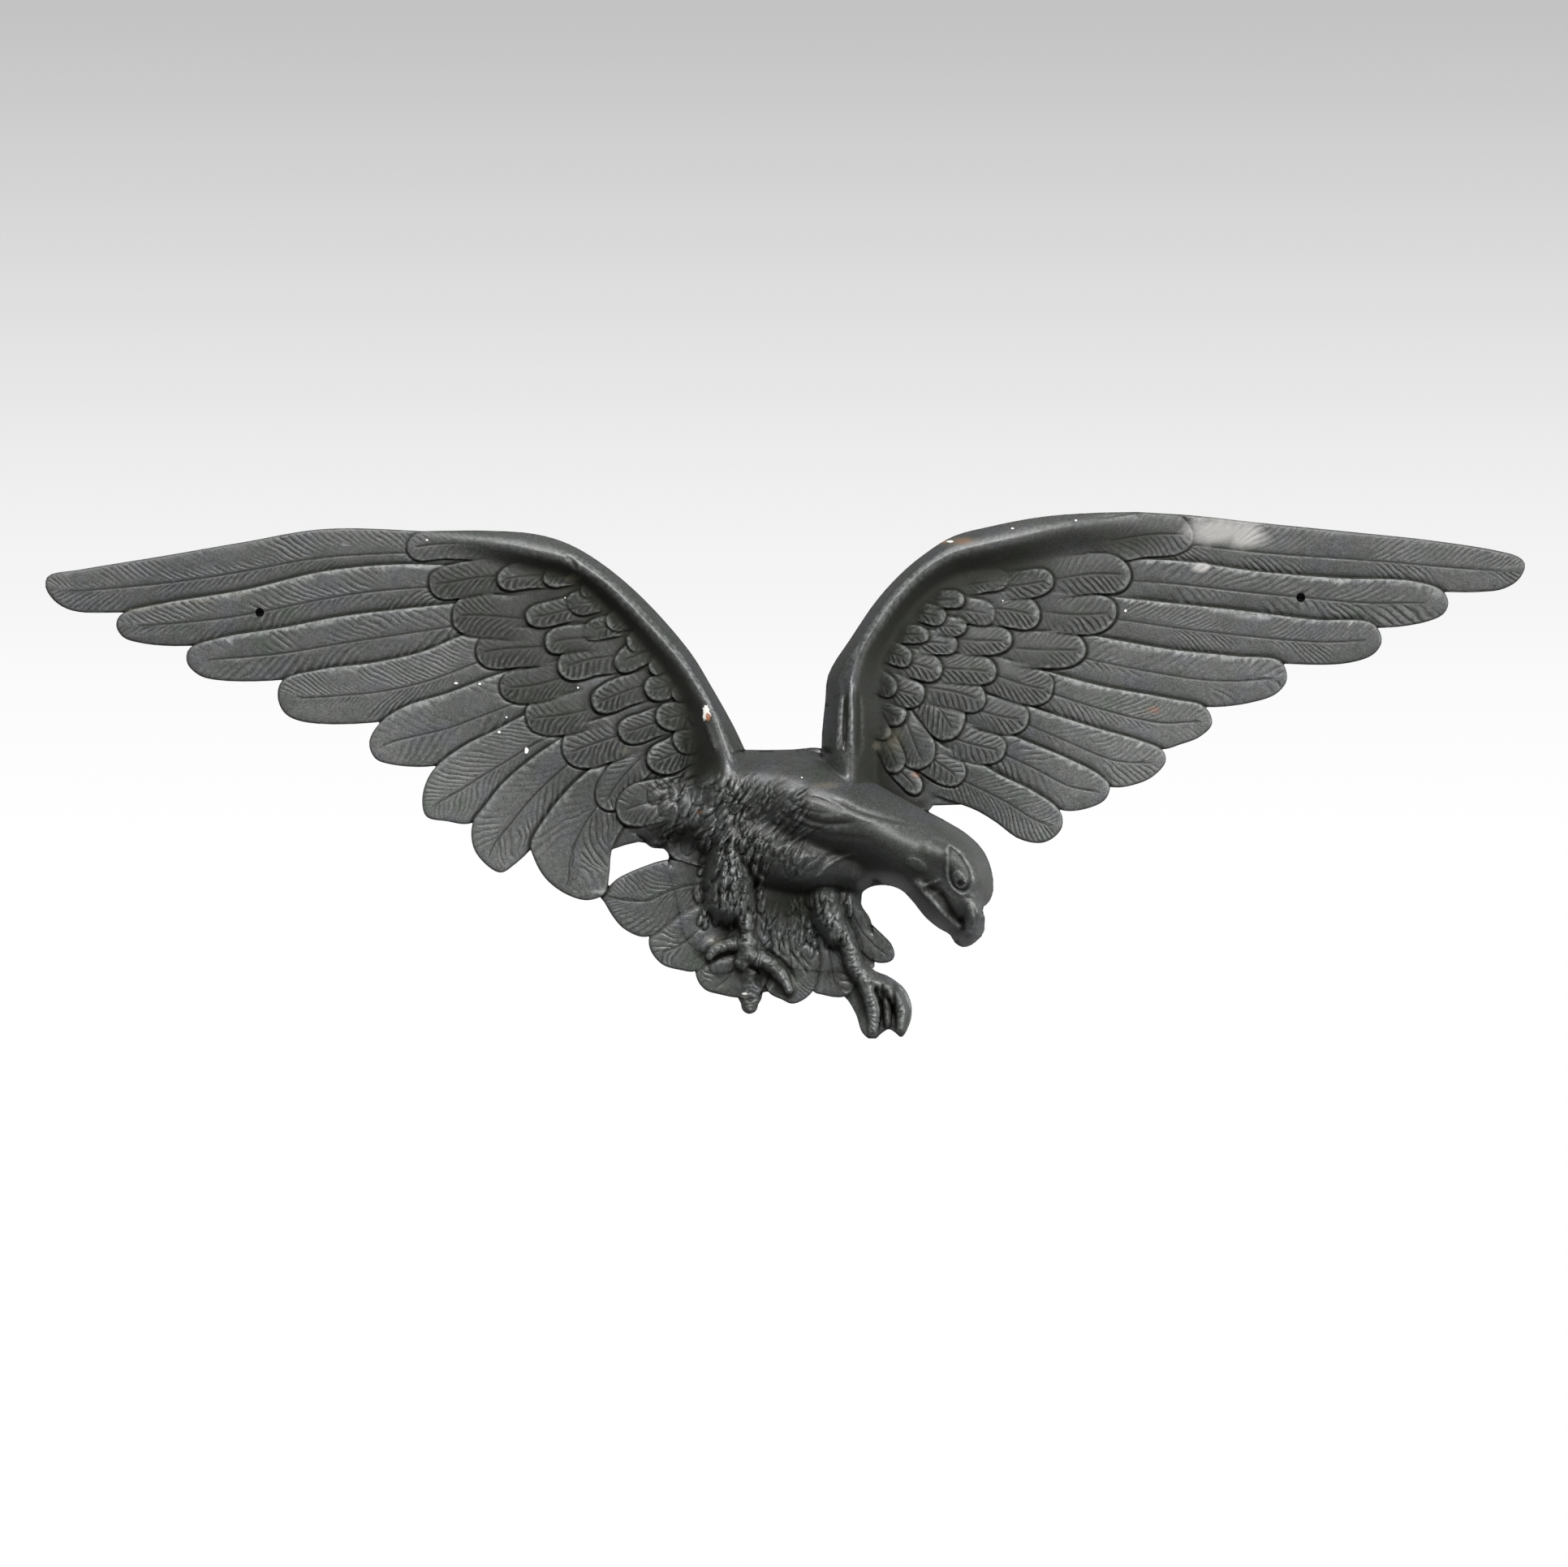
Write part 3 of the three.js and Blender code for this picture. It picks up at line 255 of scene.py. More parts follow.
# The rounded forms of the body, neck and head: a route, with the half widths and heights along it
TORSO_FORMS = [
    ([(-66, -107), (-52, -105), (-36, -106), (-15, -108)], [13, 18, 22, 26], [15, 22, 28, 31]),
    ([(-28, -112), (-10, -118)], [20, 22], [30, 33]),
    ([(-25.4, -94.2), (-0.6, -97.1), (28.2, -105.8), (57.1, -118.9), (79.8, -131.3), (90.1, -143.7)],
     [20, 27, 26, 23, 22, 20], [31, 39, 45, 48, 48, 45]),
    ([(-15, -121), (9.7, -127.2), (36.5, -131.3)], [20, 20, 14], [33, 34, 29]),
    ([(-25, -119), (-25.5, -132), (-26, -144), (-26, -149)], [12, 13, 14, 13.5], [32, 36, 35, 30]),
    ([(23, -150), (25, -158), (28, -167)], [10, 10, 6.5], [24, 28, 24]),
    ([(-13, -143.7), (9.7, -145.7), (36.5, -149.9)], [20, 20, 14], [12, 12, 12]),
]
HEAD_FORMS = [
    ([(76, -124), (87, -129), (94, -138)], [15, 16, 14], [49, 52, 50.5]),
    ([(95, -147.8), (98.3, -156.1), (97.1, -166.4)], [10, 9, 8], [45, 43, 33]),
    ([(70, -141), (79, -151.5), (89, -163)], [9, 8.5, 7], [40, 39, 30]),
]

# Ridges and grooves of the wing rolls, neck, face and feet: points, width and height
ROLL_LINES = [
    ([(29, -76), (30, -60), (31.1, -44.7)], 1.1, 1.7),
    ([(32.5, -76), (33, -60), (33.5, -42)], 1.0, -1.9),
    ([(36, -78), (36, -60), (35.7, -34.4)], 1.1, 1.6),
    ([(39.5, -80), (39.5, -62), (38.8, -40)], 1.2, -1.3),
    ([(-38, -58), (-35, -67), (-31.5, -76)], 1.2, 0.9),
    ([(-109, 25.5), (-105, 22), (-102, 18)], 1.0, -0.9),
]
NECK_LINES = [
    ([(20.4, -95.9), (29.5, -99.2), (37.7, -103.3), (47.2, -106.6), (58.8, -109.9), (68.6, -112.4)], 1, -0.9),
    ([(24.1, -100.4), (36.5, -106.2), (48.9, -109.9), (63.3, -113.6)], 1.6, 0.4),
    ([(11.3, -96.7), (19.6, -98.3), (27.8, -101.6), (33.2, -104.9)], 0.9, -0.6),
    ([(8, -104.1), (14.6, -108.2), (22.1, -110.3), (31.1, -110.3), (39.8, -109.9)], 1.4, -1.4),
    ([(8.9, -100.4), (15.9, -103.7), (24.1, -106.2), (34.4, -107)], 1.6, 0.5),
    ([(2, -99), (10, -102), (18, -104.5), (27, -106)], 0.8, -0.6),
    ([(-2, -104), (6, -108.5), (14, -112), (24, -114)], 0.9, -0.8),
    ([(14, -113), (24, -116), (36, -117), (50, -119)], 1.2, -0.5),
    ([(16.3, -140.4), (22.1, -133.4), (29.5, -128.4), (40.6, -125.1)], 0.9, 1.1),
    ([(14.2, -137.5), (20.4, -130.5), (28.2, -125.5), (36.5, -123.1)], 1.6, -0.6),
    ([(6, -134.2), (11.8, -128.4), (15.9, -125.1)], 1.6, 1.4),
    ([(8.5, -135), (13.8, -129.7), (17.5, -126.8)], 0.7, -0.8),
    ([(-3.9, -126), (1.9, -121.8), (7.6, -118.5)], 1.6, 1.3),
    ([(-2.7, -122.7), (3.5, -119.4), (9.3, -117.3)], 0.8, -0.8),
    ([(-13.8, -130.1), (-13, -135.4), (-9.7, -138.7), (-6, -140.4)], 1, 1.6),
    ([(-11.3, -130.1), (-9.7, -135), (-5.6, -137.5)], 1.4, -1.4),
]
FACE_LINES = [
    ([(73.6, -115.2), (80.6, -117.3), (86.8, -119.8), (91.7, -123.9), (95.9, -129.3)], 1.1, 1.6),
    ([(74.8, -118.1), (81.8, -121), (86.8, -124.3)], 1.4, -0.5),
    ([(69.5, -142.4), (75.7, -140.8), (81.8, -138.3)], 0.9, 1.3),
    ([(70.3, -144.9), (76.9, -144.1), (81.8, -142.4)], 1.5, -1.1),
    ([(79, -142.9), (83.4, -149), (86.8, -154.8), (89.6, -159)], 2.0, -2.8),
    ([(73.6, -145.7), (77.7, -151.1), (83.1, -157.7), (91.3, -164.3)], 1.5, 1.9),
    ([(91.7, -146.6), (97.1, -148.6), (104.9, -151.5)], 1.3, -1.5),
    ([(94.2, -150.7), (95.9, -154.8), (97.1, -159.4)], 1.2, 0.8),
    ([(97.1, -149.9), (97.9, -154), (98.7, -158.9)], 0.7, -0.7),
    ([(100, -150.7), (100.8, -155.6), (100.4, -160.6)], 1.3, 0.7),
    ([(88, -165.1), (94.2, -163.5), (100.8, -164.7)], 1, -0.7),
]
FOOT_LINES = [
    ([(-34.5, -181.2), (-32.4, -178.8), (-27, -176.6), (-21, -175.6)], 1.1, -2),
    ([(-11.5, -172), (-6, -176), (1, -181), (6.5, -188), (8, -194)], 1.5, -2),
    ([(-19.5, -184.5), (-15, -183.5), (-9, -186)], 1.1, -1.6),
    ([(-19.5, -164), (-13.5, -164)], 0.9, 1),
    ([(-19.5, -168.4), (-13.5, -168.4)], 0.9, 1),
    ([(-3.5, -179), (-6.5, -184)], 0.7, -0.8),
    ([(1.2, -183.2), (-2.6, -188)], 0.7, -0.8),
    ([(4.4, -188.4), (0.4, -192)], 0.7, -0.8),
    ([(-24.5, -168.5), (-25, -175)], 0.7, -0.7),
    ([(-29.5, -169.5), (-30.5, -176)], 0.7, -0.7),
    ([(51.3, -187), (51.7, -199.3), (50.9, -212.5)], 1.1, -2.2),
    ([(57.1, -189), (57.9, -199.3), (57.1, -211.7)], 1.2, -2.4),
    ([(2.7, -171.7), (7.6, -178.7), (15, -187.8)], 0.6, -0.8),
    ([(6, -171.7), (10.9, -177.9), (17.1, -185.7)], 0.6, -0.8),
    ([(9.5, -176), (12.5, -183), (13.5, -191)], 0.6, -0.6),
]

# The ring round the eye, and the swellings and hollows of the face: middle, half length, half
# width, heading in degrees, height and roundness
EYE_RING = [(85.1, -121.4), (90.1, -124.7), (94.2, -130.1), (97.1, -137.5), (95.9, -143.7), (91.7, -146.2), (86.8, -142.9), (84.3, -137.1), (83.9, -129.3)]
EYE_RING_HEIGHT = 1.2
EYE_RING_DEPTH = 1.1
FACE_DOMES = [
    (90.1, -138.7, 5, 3.6, 110, 2.1),
    (90.9, -140.8, 1.9, 1.9, 0, -1.9),
    (68.6, -131.3, 6.5, 3.2, -25, 1.1),
    (104.1, -140.8, 3.5, 9, 10, 0.6),
]

# Patches of small feathers: lowest and highest corner, spacing, size of one, its height and the strength of its
# painted shade
PLUMAGE = [
    ((-64, -126), (-14, -90), (8.5, 6.5), (20, 9), 1.3, 0.1),
    ((-20, -138), (8, -98), (8, 6.5), (22, 7), 1.1, 0.55),
    ((4, -138), (16, -126), (6, 6), (17, 5), 0.8, 0.55),
    ((-41, -164), (-10, -122), (4, 6.5), (21, 3.9), 1.7, 0.05),
    ((-9, -178), (15, -158), (4.5, 6.5), (18, 5), 0.8, 0.2),
    ((15, -173), (35, -149), (4, 5), (14, 3.6), 1.6, 0.1),
]
# The way the small feathers point: a place and a heading in degrees
FLOW = [(2, -165, 262), (8, -172, 275), (-65, -105, 205), (-45, -98, 215), (-45, -118, 240), (-25, -100, 235), (-25, -118, 250),
        (-30, -135, 262), (-18, -135, 275), (-24, -155, 268), (0, -112, 225), (10, -120, 215),
        (20, -130, 215), (0, -130, 225), (24, -150, 250), (30, -165, 285)]

# Painted shade in deep hollows, also made matt: middle, half width, half height and strength
HOLLOW_SHADE = [
    (76, -130, 18, 13, 0.4),
    (168, 34, 32, 9, 0.8),
    (-16, -184, 16, 14, 0.45),
    (-3, -112, 24, 18, 0.4),
    (5.6, -149.9, 19.8, 10.7, 1),
    (-24.1, -164.7, 16.5, 4.9, 0.6),
    (42.7, -125.1, 22.7, 11.5, 0.45),
    (73.6, -149.9, 10.7, 12.4, 0.35),
    (-52.2, -116.1, 14.8, 6.6, 1),
    (15.9, -121, 16.5, 12.4, 0.35),
    (42, -107, 28, 9, 0.2),
    (-41.8, -137.5, 5.8, 16.5, 0.6),
    (22.1, -149.9, 5.8, 7.4, 0.6),
    (-1.4, -182.9, 8.2, 3.3, 0.8),
    (-15, -188.2, 6.6, 4.9, 0.8),
    (53, -201.4, 2.5, 12.4, 0.9),
    (58.3, -201.4, 2.1, 10.7, 0.9),
    (85.1, -154, 5.8, 9.9, 0.25),
    (-37.7, -104.5, 12.4, 9.1, 0.15),
    (90.9, -136.7, 3.3, 7.4, 0.45),
    (5.6, -178.7, 9.1, 6.6, 0.3),
    (28.2, -184.9, 5.8, 5.8, 0.4),
    (88, -165.1, 4.9, 3.3, 0.3),
]

# Legs and toes: a route, its half widths along the way and its height
LEGS = [
    ([(-15.5, -182), (-15.4, -190), (-15.4, -197.5), (-15.6, -203)], [5, 5.2, 7, 3.8], 13),
    ([(-17.9, -172.5), (-23.3, -171.7), (-28.2, -172.5), (-32.8, -174.6), (-36, -178)],
     [4.4, 4, 3.8, 3.4, 2.2], 18),
    ([(-16, -177.5), (-6.8, -181), (-1.9, -184.9), (1.9, -189.9), (4.3, -195)], [5, 4.8, 4.3, 3.8, 2.4], 19.5),
    ([(-16.3, -171.7), (-18.5, -181)], [5.2, 5.4], 19),
    ([(-18, -158), (-16.8, -166.4), (-17.4, -173)], [4.6, 3.8, 4.6], 20),
    ([(30, -163), (35, -173), (38.5, -184), (46, -191)], [6, 5.2, 5.2, 6], 23),
]
# Swellings beside the left foot, given as the ones of the face are
FOOT_DOMES = [
    (-28, -182.5, 8, 4, 15, 2.2), (-20.4, -168, 3, 2, 0, 1.5), (-36, -172.5, 5, 3.5, 30, 1.5),
    (-8.5, -190, 5, 5, 0, -1.5),
]
RIGHT_FOOT = [(33, -178), (41, -178), (47.5, -185), (55.5, -188.5), (63, -194.5), (66.5, -202.5),
              (66, -211), (61.5, -219), (58, -216.5), (55, -215), (51.5, -217), (47, -220.5),
              (41.8, -217), (38.6, -208), (34.8, -201), (31, -196)]
RIGHT_TOES = [
    ([(42, -189), (45.5, -198), (47.5, -207), (47, -216)], [4, 4.4, 4.2, 2.8], 22),
    ([(49, -191), (53.5, -202), (54.5, -212)], [3.5, 3, 2], 18),
    ([(51, -192), (58, -198), (61.5, -206), (61, -214.5)], [4.5, 4.4, 4, 2.4], 21),
]

# Marks on the paint: middle, half width and half height
CHIPS = [
    (-37.3, -54.6, 1.82, 3.3), (-164.3, -39.4, 0.79, 0.46), (-152.3, -39.8, 0.59, 0.46),
    (-142.4, -64.1, 0.66, 0.66), (-128.4, -73.6, 0.86, 1.32), (-138.7, -56.7, 0.46, 0.39),
    (-102.5, -41.8, 0.39, 0.39), (-179.1, 33.2, 0.53, 0.39), (-109.1, 3.9, 0.39, 0.39),
    (10.9, -87.2, 0.4, 0.32), (117.7, 39, 0.59, 0.39), (149.9, 43.1, 0.46, 0.39),
    (112.8, 2.3, 0.39, 0.39), (175, -2.7, 0.53, 0.53), (86, 32.4, 1.65, 0.53),
    (-17.9, -196.9, 1.98, 0.59),
]
RUST = [
    (-36.5, -56.7, 1.07, 2.06), (83.1, 32.4, 0.82, 0.49),
]
RUBBED = [
    (93, 32.4, 4.12, 1.44), (-41, -104.9, 1.65, 1.03), (189, -53, 2.89, 1.65), (68.6, -86, 2.06, 1.65),
]
PALE = [
    (222, 37.5, 14, 6.5), (236, 34.5, 9, 6), (213, 19.2, 3.5, 2),
]
DUSTY = [
    (57.1, -68.2, 4.5, 5), (-79, -74, 2.5, 1.2), (-33.5, -170.5, 4, 2), (48.9, -71.5, 2, 2),
    (-327, -2.2, 9, 0.5), (-310, 0, 9, 0.6), (-292, 2.2, 9, 0.6), (-275, 5.4, 8, 0.5), (-105.3, 14.2, 3.3, 1.6),
    (24.1, -91.3, 5.8, 1.6), (86, 32.4, 9.9, 2),
]


def spline(points, count, closed=False):
    """Evenly spaced points on a smooth curve. Each span is the cubic through its two points whose
    slopes come from the four points round it, with the spans timed by the square root of their
    lengths."""
    given = np.asarray(points, float)
    if closed:
        given = np.vstack([given[-1:], given, given[:2]])
    else:
        given = np.vstack([2 * given[0] - given[1], given, 2 * given[-1] - given[-2]])
    time = np.sqrt(np.linalg.norm(np.diff(given, axis=0), axis=1))[:, None]
    p0, p1, p2, p3 = given[:-3], given[1:-2], given[2:-1], given[3:]
    t0, t1, t2 = time[:-2], time[1:-1], time[2:]
    out = ((p1 - p0) / t0 - (p2 - p0) / (t0 + t1) + (p2 - p1) / t1) * t1
    into = ((p2 - p1) / t1 - (p3 - p1) / (t1 + t2) + (p3 - p2) / t2) * t1
    u = np.linspace(0, 1, 24, endpoint=False)[None, :, None]
    p1, p2, out, into = (a[:, None, :] for a in (p1, p2, out, into))
    fine = p1 + out * u + (3 * (p2 - p1) - 2 * out - into) * u**2 + (2 * (p1 - p2) + out + into) * u**3
    fine = np.vstack([fine.reshape(-1, 2), given[-2]])
    return resampled(fine, count + 1)[:-1] if closed else resampled(fine, count)


def resampled(line, count):
    """The line's points moved to even spacing: each new point is read off at its share of the
    line's length."""
    length = run_of(line)
    even = np.linspace(0, length[-1], count)
    return np.stack([np.interp(even, length, line[:, k]) for k in (0, 1)], axis=1)


def run_of(line):
    """The length along a line at each of its points."""
    return np.concatenate([[0], np.cumsum(np.linalg.norm(np.diff(line, axis=0), axis=1))])


def nearest(line, x, z):
    """For each place, the distance to an open line, the length along the line at the nearest point
    and the side, +1 to the left of the way the line runs. Each straight bit of the line gives the
    foot of a perpendicular kept between its ends, and the closest foot wins."""
    reach = np.full(x.shape, FAR**2)
    along = np.zeros(x.shape)
    side = np.ones(x.shape)
    length = run_of(line)
    for (ax, az), (bx, bz), start in zip(line[:-1], line[1:], length):
        dx, dz = bx - ax, bz - az
        size = max(dx * dx + dz * dz, 1e-9)
        share = np.clip(((x - ax) * dx + (z - az) * dz) / size, 0, 1)
        offx, offz = x - ax - share * dx, z - az - share * dz
        far = offx * offx + offz * offz
        closer = far < reach
        reach = np.where(closer, far, reach)
        along = np.where(closer, start + share * math.sqrt(size), along)
        side = np.where(closer, np.sign(dx * offz - dz * offx), side)
    return np.sqrt(reach), along, side


def signed_distance(outline, x, z):
    """The distance to a closed outline, below zero inside it. A place is inside where a ray to the
    right crosses the outline an odd number of times."""
    ring = np.vstack([outline, outline[:1]])
    inside = np.zeros(x.shape, bool)
    for (ax, az), (bx, bz) in zip(ring[:-1], ring[1:]):
        if az != bz:
            crosses = ((az > z) != (bz > z)) & (x < ax + (z - az) * (bx - ax) / (bz - az))
            inside ^= crosses
    return np.where(inside, -1, 1) * nearest(ring, x, z)[0]


def noise(u, v, seed):
    """Smooth random values from 0 to 1: a fixed square of random numbers, one for each whole u and
    v, blended between neighbours with an S-shaped weight."""
    size = 64
    lattice = np.random.default_rng(seed).random((size, size))
    iu, iv = np.floor(u).astype(int), np.floor(v).astype(int)
    fu, fv = u - iu, v - iv
    fu, fv = fu * fu * (3 - 2 * fu), fv * fv * (3 - 2 * fv)
    a, b = lattice[iv % size, iu % size], lattice[iv % size, (iu + 1) % size]
    c, d = lattice[(iv + 1) % size, iu % size], lattice[(iv + 1) % size, (iu + 1) % size]
    return (a * (1 - fu) + b * fu) * (1 - fv) + (c * (1 - fu) + d * fu) * fv


def blur(values, radius, cell):
    """Weighted means along the rows and then the columns, with bell-shaped weights."""
    reach = max(1, int(round(3 * radius / cell)))
    offsets = np.arange(-reach, reach + 1)
    weights = np.exp(-0.5 * (offsets * cell / radius) ** 2)
    weights /= weights.sum()
    for axis in (0, 1):
        padded = np.pad(values, [(reach, reach) if k == axis else (0, 0) for k in (0, 1)], mode="edge")
        count = values.shape[axis]
        values = sum(w * np.take(padded, range(i, i + count), axis) for i, w in enumerate(weights))
    return values


def step(low, high, value):
    """Goes from 0 at low to 1 at high along an S-shaped curve."""
    share = np.clip((value - low) / (high - low), 0, 1)
    return share * share * (3 - 2 * share)


def quarter(share):
    """A quarter of a circle: 0 at 0, upright there, and level at 1."""
    return np.sqrt(1 - (1 - np.clip(share, 0, 1)) ** 2)


def wing_ground(x, z):
    """Height of the bare wing: it rises evenly from the tips, with a bell-shaped swelling at the
    shoulders."""
    reach = np.abs(x)
    plate = TIP_HEIGHT + (ROOT_HEIGHT - TIP_HEIGHT) * np.clip(1 - reach / HALF_SPAN, 0, 1)
    across = (np.maximum(reach, 75) - 75) / 70
    return plate + SHOULDER_HEIGHT * np.exp(-(across**2) - ((z + 50) / 48) ** 2)


def tail_ground(x, z):
    """Height of the bare tail, which is flat."""
    return np.full(x.shape, TAIL_HEIGHT)


class Relief:
    """The front of the casting on an even grid: its height and the signed distance to its
    silhouette, below zero inside."""

    def __init__(self, low, high, cell):
        self.cell = cell
        self.x = np.arange(low[0], high[0] + cell, cell)
        self.z = np.arange(low[1], high[1] + cell, cell)
        self.height = np.zeros((len(self.z), len(self.x)))
        self.edge = np.full(self.height.shape, FAR)
        self.rounding = np.zeros(self.height.shape)
        self.phase = np.zeros(self.height.shape)
        self.barbed = np.zeros(self.height.shape)
        self.shaft = np.full(self.height.shape, FAR)
        self.painted_shade = np.zeros(self.height.shape)

    def window(self, points, margin=MARGIN):
        """The rows and columns round some points, and the places of that part of the grid."""
        points = np.asarray(points)
        low, high = points.min(0) - margin, points.max(0) + margin
        columns = slice(*np.searchsorted(self.x, [low[0], high[0]]))
        rows = slice(*np.searchsorted(self.z, [low[1], high[1]]))
        x, z = np.meshgrid(self.x[columns], self.z[rows])
        return (rows, columns), x, z

    def cut(self, outline):
        """Adds an outline to the silhouette."""
        part, x, z = self.window(outline)
        self.edge[part] = np.minimum(self.edge[part], signed_distance(outline, x, z))


def barbs(s, d, seed, slant, stronger, pitch, cover):
    """The cut lines of a feather's vane, which leave the shaft towards the tip and bend outwards, as
    a count of lines and a strength. The count is the length along the shaft, less a power of the
    distance from it times the slant, in pitches, and a groove lies where it is whole. Noise bends
    the lines, breaks them up and lets them fade, and cover is how much of the vane they fill."""
    wobble = 1.3 * (noise(s / 14 + 3, d / 9, seed) - 0.5) + 0.35 * (noise(s / 4, d / 4, seed + 1) - 0.5)
    phase = (s - slant * np.abs(d) ** BARB_BEND) / pitch + wobble
    patchy = np.clip(2.2 * noise(s / 16 + 7, d / 9, seed + 2) - 0.7 + cover, 0, 1)
    single = 0.35 + 0.65 * noise(np.round(phase) * 0.77, d / 6 + 0.37 * np.round(phase), seed + 3)
    return phase, patchy * single * step(0.5, 2.2, np.abs(d)) * stronger


def grooved(phase, barbed):
    """How deep the barb lines cut, from 0 to 1: bell-shaped grooves at whole counts."""
    return np.exp(-(((phase - np.round(phase)) / 0.2) ** 2)) * barbed


def edges_of(outline):
    """Both edges of a feather, from its root to its tip, the point farthest from the root."""
    fine = spline(outline, 161)
    reach = np.linalg.norm(fine - (fine[0] + fine[-1]) / 2, axis=1)
    tip = int(reach.argmax())
    return fine[: tip + 1], fine[tip:][::-1]


def lay_vane(relief, outline, ground, style, lap, seed, barbed=0.8, shaft_share=0.5):
    """A flight or tail feather over what is there: proud along its upper edge, falling evenly to
    its lower edge, with a crown between, a groove round it, a cut shaft and barbs."""
    upper, lower = edges_of(outline)
    ring = np.vstack([upper, lower[::-1][1:]])
    part, x, z = relief.window(ring)
    out = signed_distance(ring, x, z)
    from_upper = nearest(upper, x, z)[0]
    from_lower = nearest(lower, x, z)[0]
    share = from_upper / np.maximum(from_upper + from_lower, 1e-6)
    middle = resampled(upper, 40) * (1 - shaft_share) + resampled(lower, 40) * shaft_share
    length = run_of(middle)[-1]
    away, s, _ = nearest(middle, x, z)
    d = np.where(share < shaft_share, away, -away)
    run = s / length
    top = ground(x, z) + lap * (1 - share) * (1 - 0.5 * run**6) + 0.5 * lap * run**6 * share
    top += style.vane_crown * (1 - (2 * share - 1) ** 2) * (1 - run**3)
    stronger = barbed * np.where(share > shaft_share, 1.0, 0.6) * step(0.3, 1.8, -out)
    shown = step(0.0, 0.14, run)
    pitch = style.barb_pitch * (1.2 + 0.35 * math.sin(seed))
    phase, barbed = barbs(s, d, seed, VANE_SLANT * style.barb_slant, stronger * shown, pitch, 0)
    top -= style.barb_depth * grooved(phase, barbed)
    shaft = np.exp(-((away / 0.5) ** 2)) * (1 - step(0.85, 0.96, run))
    top -= style.shaft_depth * shaft * (0.6 + 0.4 * noise(s / 20, d * 0, seed + 5))
    top -= style.edge_radius * (1 - quarter(-out / style.edge_radius))
    groove = style.valley_depth * np.exp(-((np.maximum(out, 0) / style.valley_width) ** 2))
    groove *= step(0.02, 0.2, run)
    top = top * shown + np.maximum(relief.height[part], ground(x, z) - 0.6) * (1 - shown)
    lay(relief, part, top, out, groove, phase, barbed, np.where(run < 0.95, d, FAR), 0)
    relief.edge[part] = np.minimum(relief.edge[part], out)


def lay(relief, part, top, out, groove, phase, barbed, shaft, shade_strength):
    """Puts a feather's surface and its marks over what is there, with its edge spread over one square
    of the grid, a groove outside, and painted shade over it at its strength and along the groove."""
    inside = out < 0
    for name, values in (("phase", phase), ("barbed", barbed), ("shaft", shaft)):
        grid = getattr(relief, name)
        grid[part] = np.where(inside, values, grid[part])
    height = relief.height[part]
    over = np.clip(0.5 - out / relief.cell, 0, 1)
    beside = np.where(height > 0, height - groove, top)
    relief.height[part] = np.where((height > 0) | inside, top * over + beside * (1 - over), 0)
    # Painted shade along the groove outside the feather, and over the feather at its strength.
    line = EDGE_GROOVE_SHADE * np.clip(groove / 0.7, 0, 1) * np.exp(-((np.maximum(out, 0) / 0.9) ** 2))
    relief.painted_shade[part] = np.where(inside, shade_strength, np.maximum(relief.painted_shade[part], line))


def lay_covert(relief, row, ground, style, seed, rise, crown, groove_depth, barbed, shade_strength):
    """A covert over what is there: a tongue with a rounded tip, domed across, that rises from its
    root to its tip inside an engraved groove, with a shaft and barbs. It fades out at its root."""
    tip_x, tip_z, heading, length, width = row
    angle = math.radians(heading)
    ux, uz = math.cos(angle), math.sin(angle)
    root = (tip_x - ux * length, tip_z - uz * length)
    part, x, z = relief.window([(tip_x, tip_z), root], width / 2 + MARGIN)
    back = (tip_x - x) * ux + (tip_z - z) * uz
    across = -(x - tip_x) * uz + (z - tip_z) * ux
    across = across + 0.06 * width * np.sin(2.2 * back / width + seed)
    half, nose = (0.5 + 0.05 * np.sin(seed)) * width, 0.68 * width
    bulge = 2.25
    ahead = np.clip((nose - back) / nose, 0, None)
    ring = (ahead**bulge + np.abs(across / half) ** bulge) ** (1 / bulge)
    bend = 0.5 * (noise(back / 6, across / 6, seed) - 0.5)
    out = np.where(ahead > 0, (ring - 1) * half, np.abs(across) - half) + bend
    run = 1 - back / length
    top = ground(x, z) + rise * np.clip(run, 0, 1) + crown * (1 - np.clip(np.abs(across) / half, 0, 1) ** 2)
    s = length - back
    lower_half = np.sign(across) * np.sign(ux) < 0
    shown = step(0.02, 0.42, run)
    stronger = barbed * np.where(lower_half, 1.0, 0.65) * step(0.2, 1.6, -out)
    phase, cut = barbs(s, across, seed, style.barb_slant, stronger * shown, style.barb_pitch, 0.5)
    top -= style.barb_depth * grooved(phase, cut)
    shaft = np.exp(-((across / 0.5) ** 2)) * step(3, 6, back)
    top -= style.shaft_depth * shaft
    top -= style.edge_radius * (1 - quarter(-out / style.edge_radius))
    height = relief.height[part]
    top = top * shown + height * (1 - shown)
    groove = groove_depth * np.exp(-((np.maximum(out, 0) / style.groove_width) ** 2))
    groove *= step(0.1, 0.5, run) * np.where(lower_half, 1.0, 0.75)
    line = np.where((back > 3.5) & (run > 0.15), across, FAR)
    # The covert goes down with painted shade over it at its strength.
    lay(relief, part, top, np.where(back < length, out, MARGIN), groove, phase, cut, line, shade_strength)


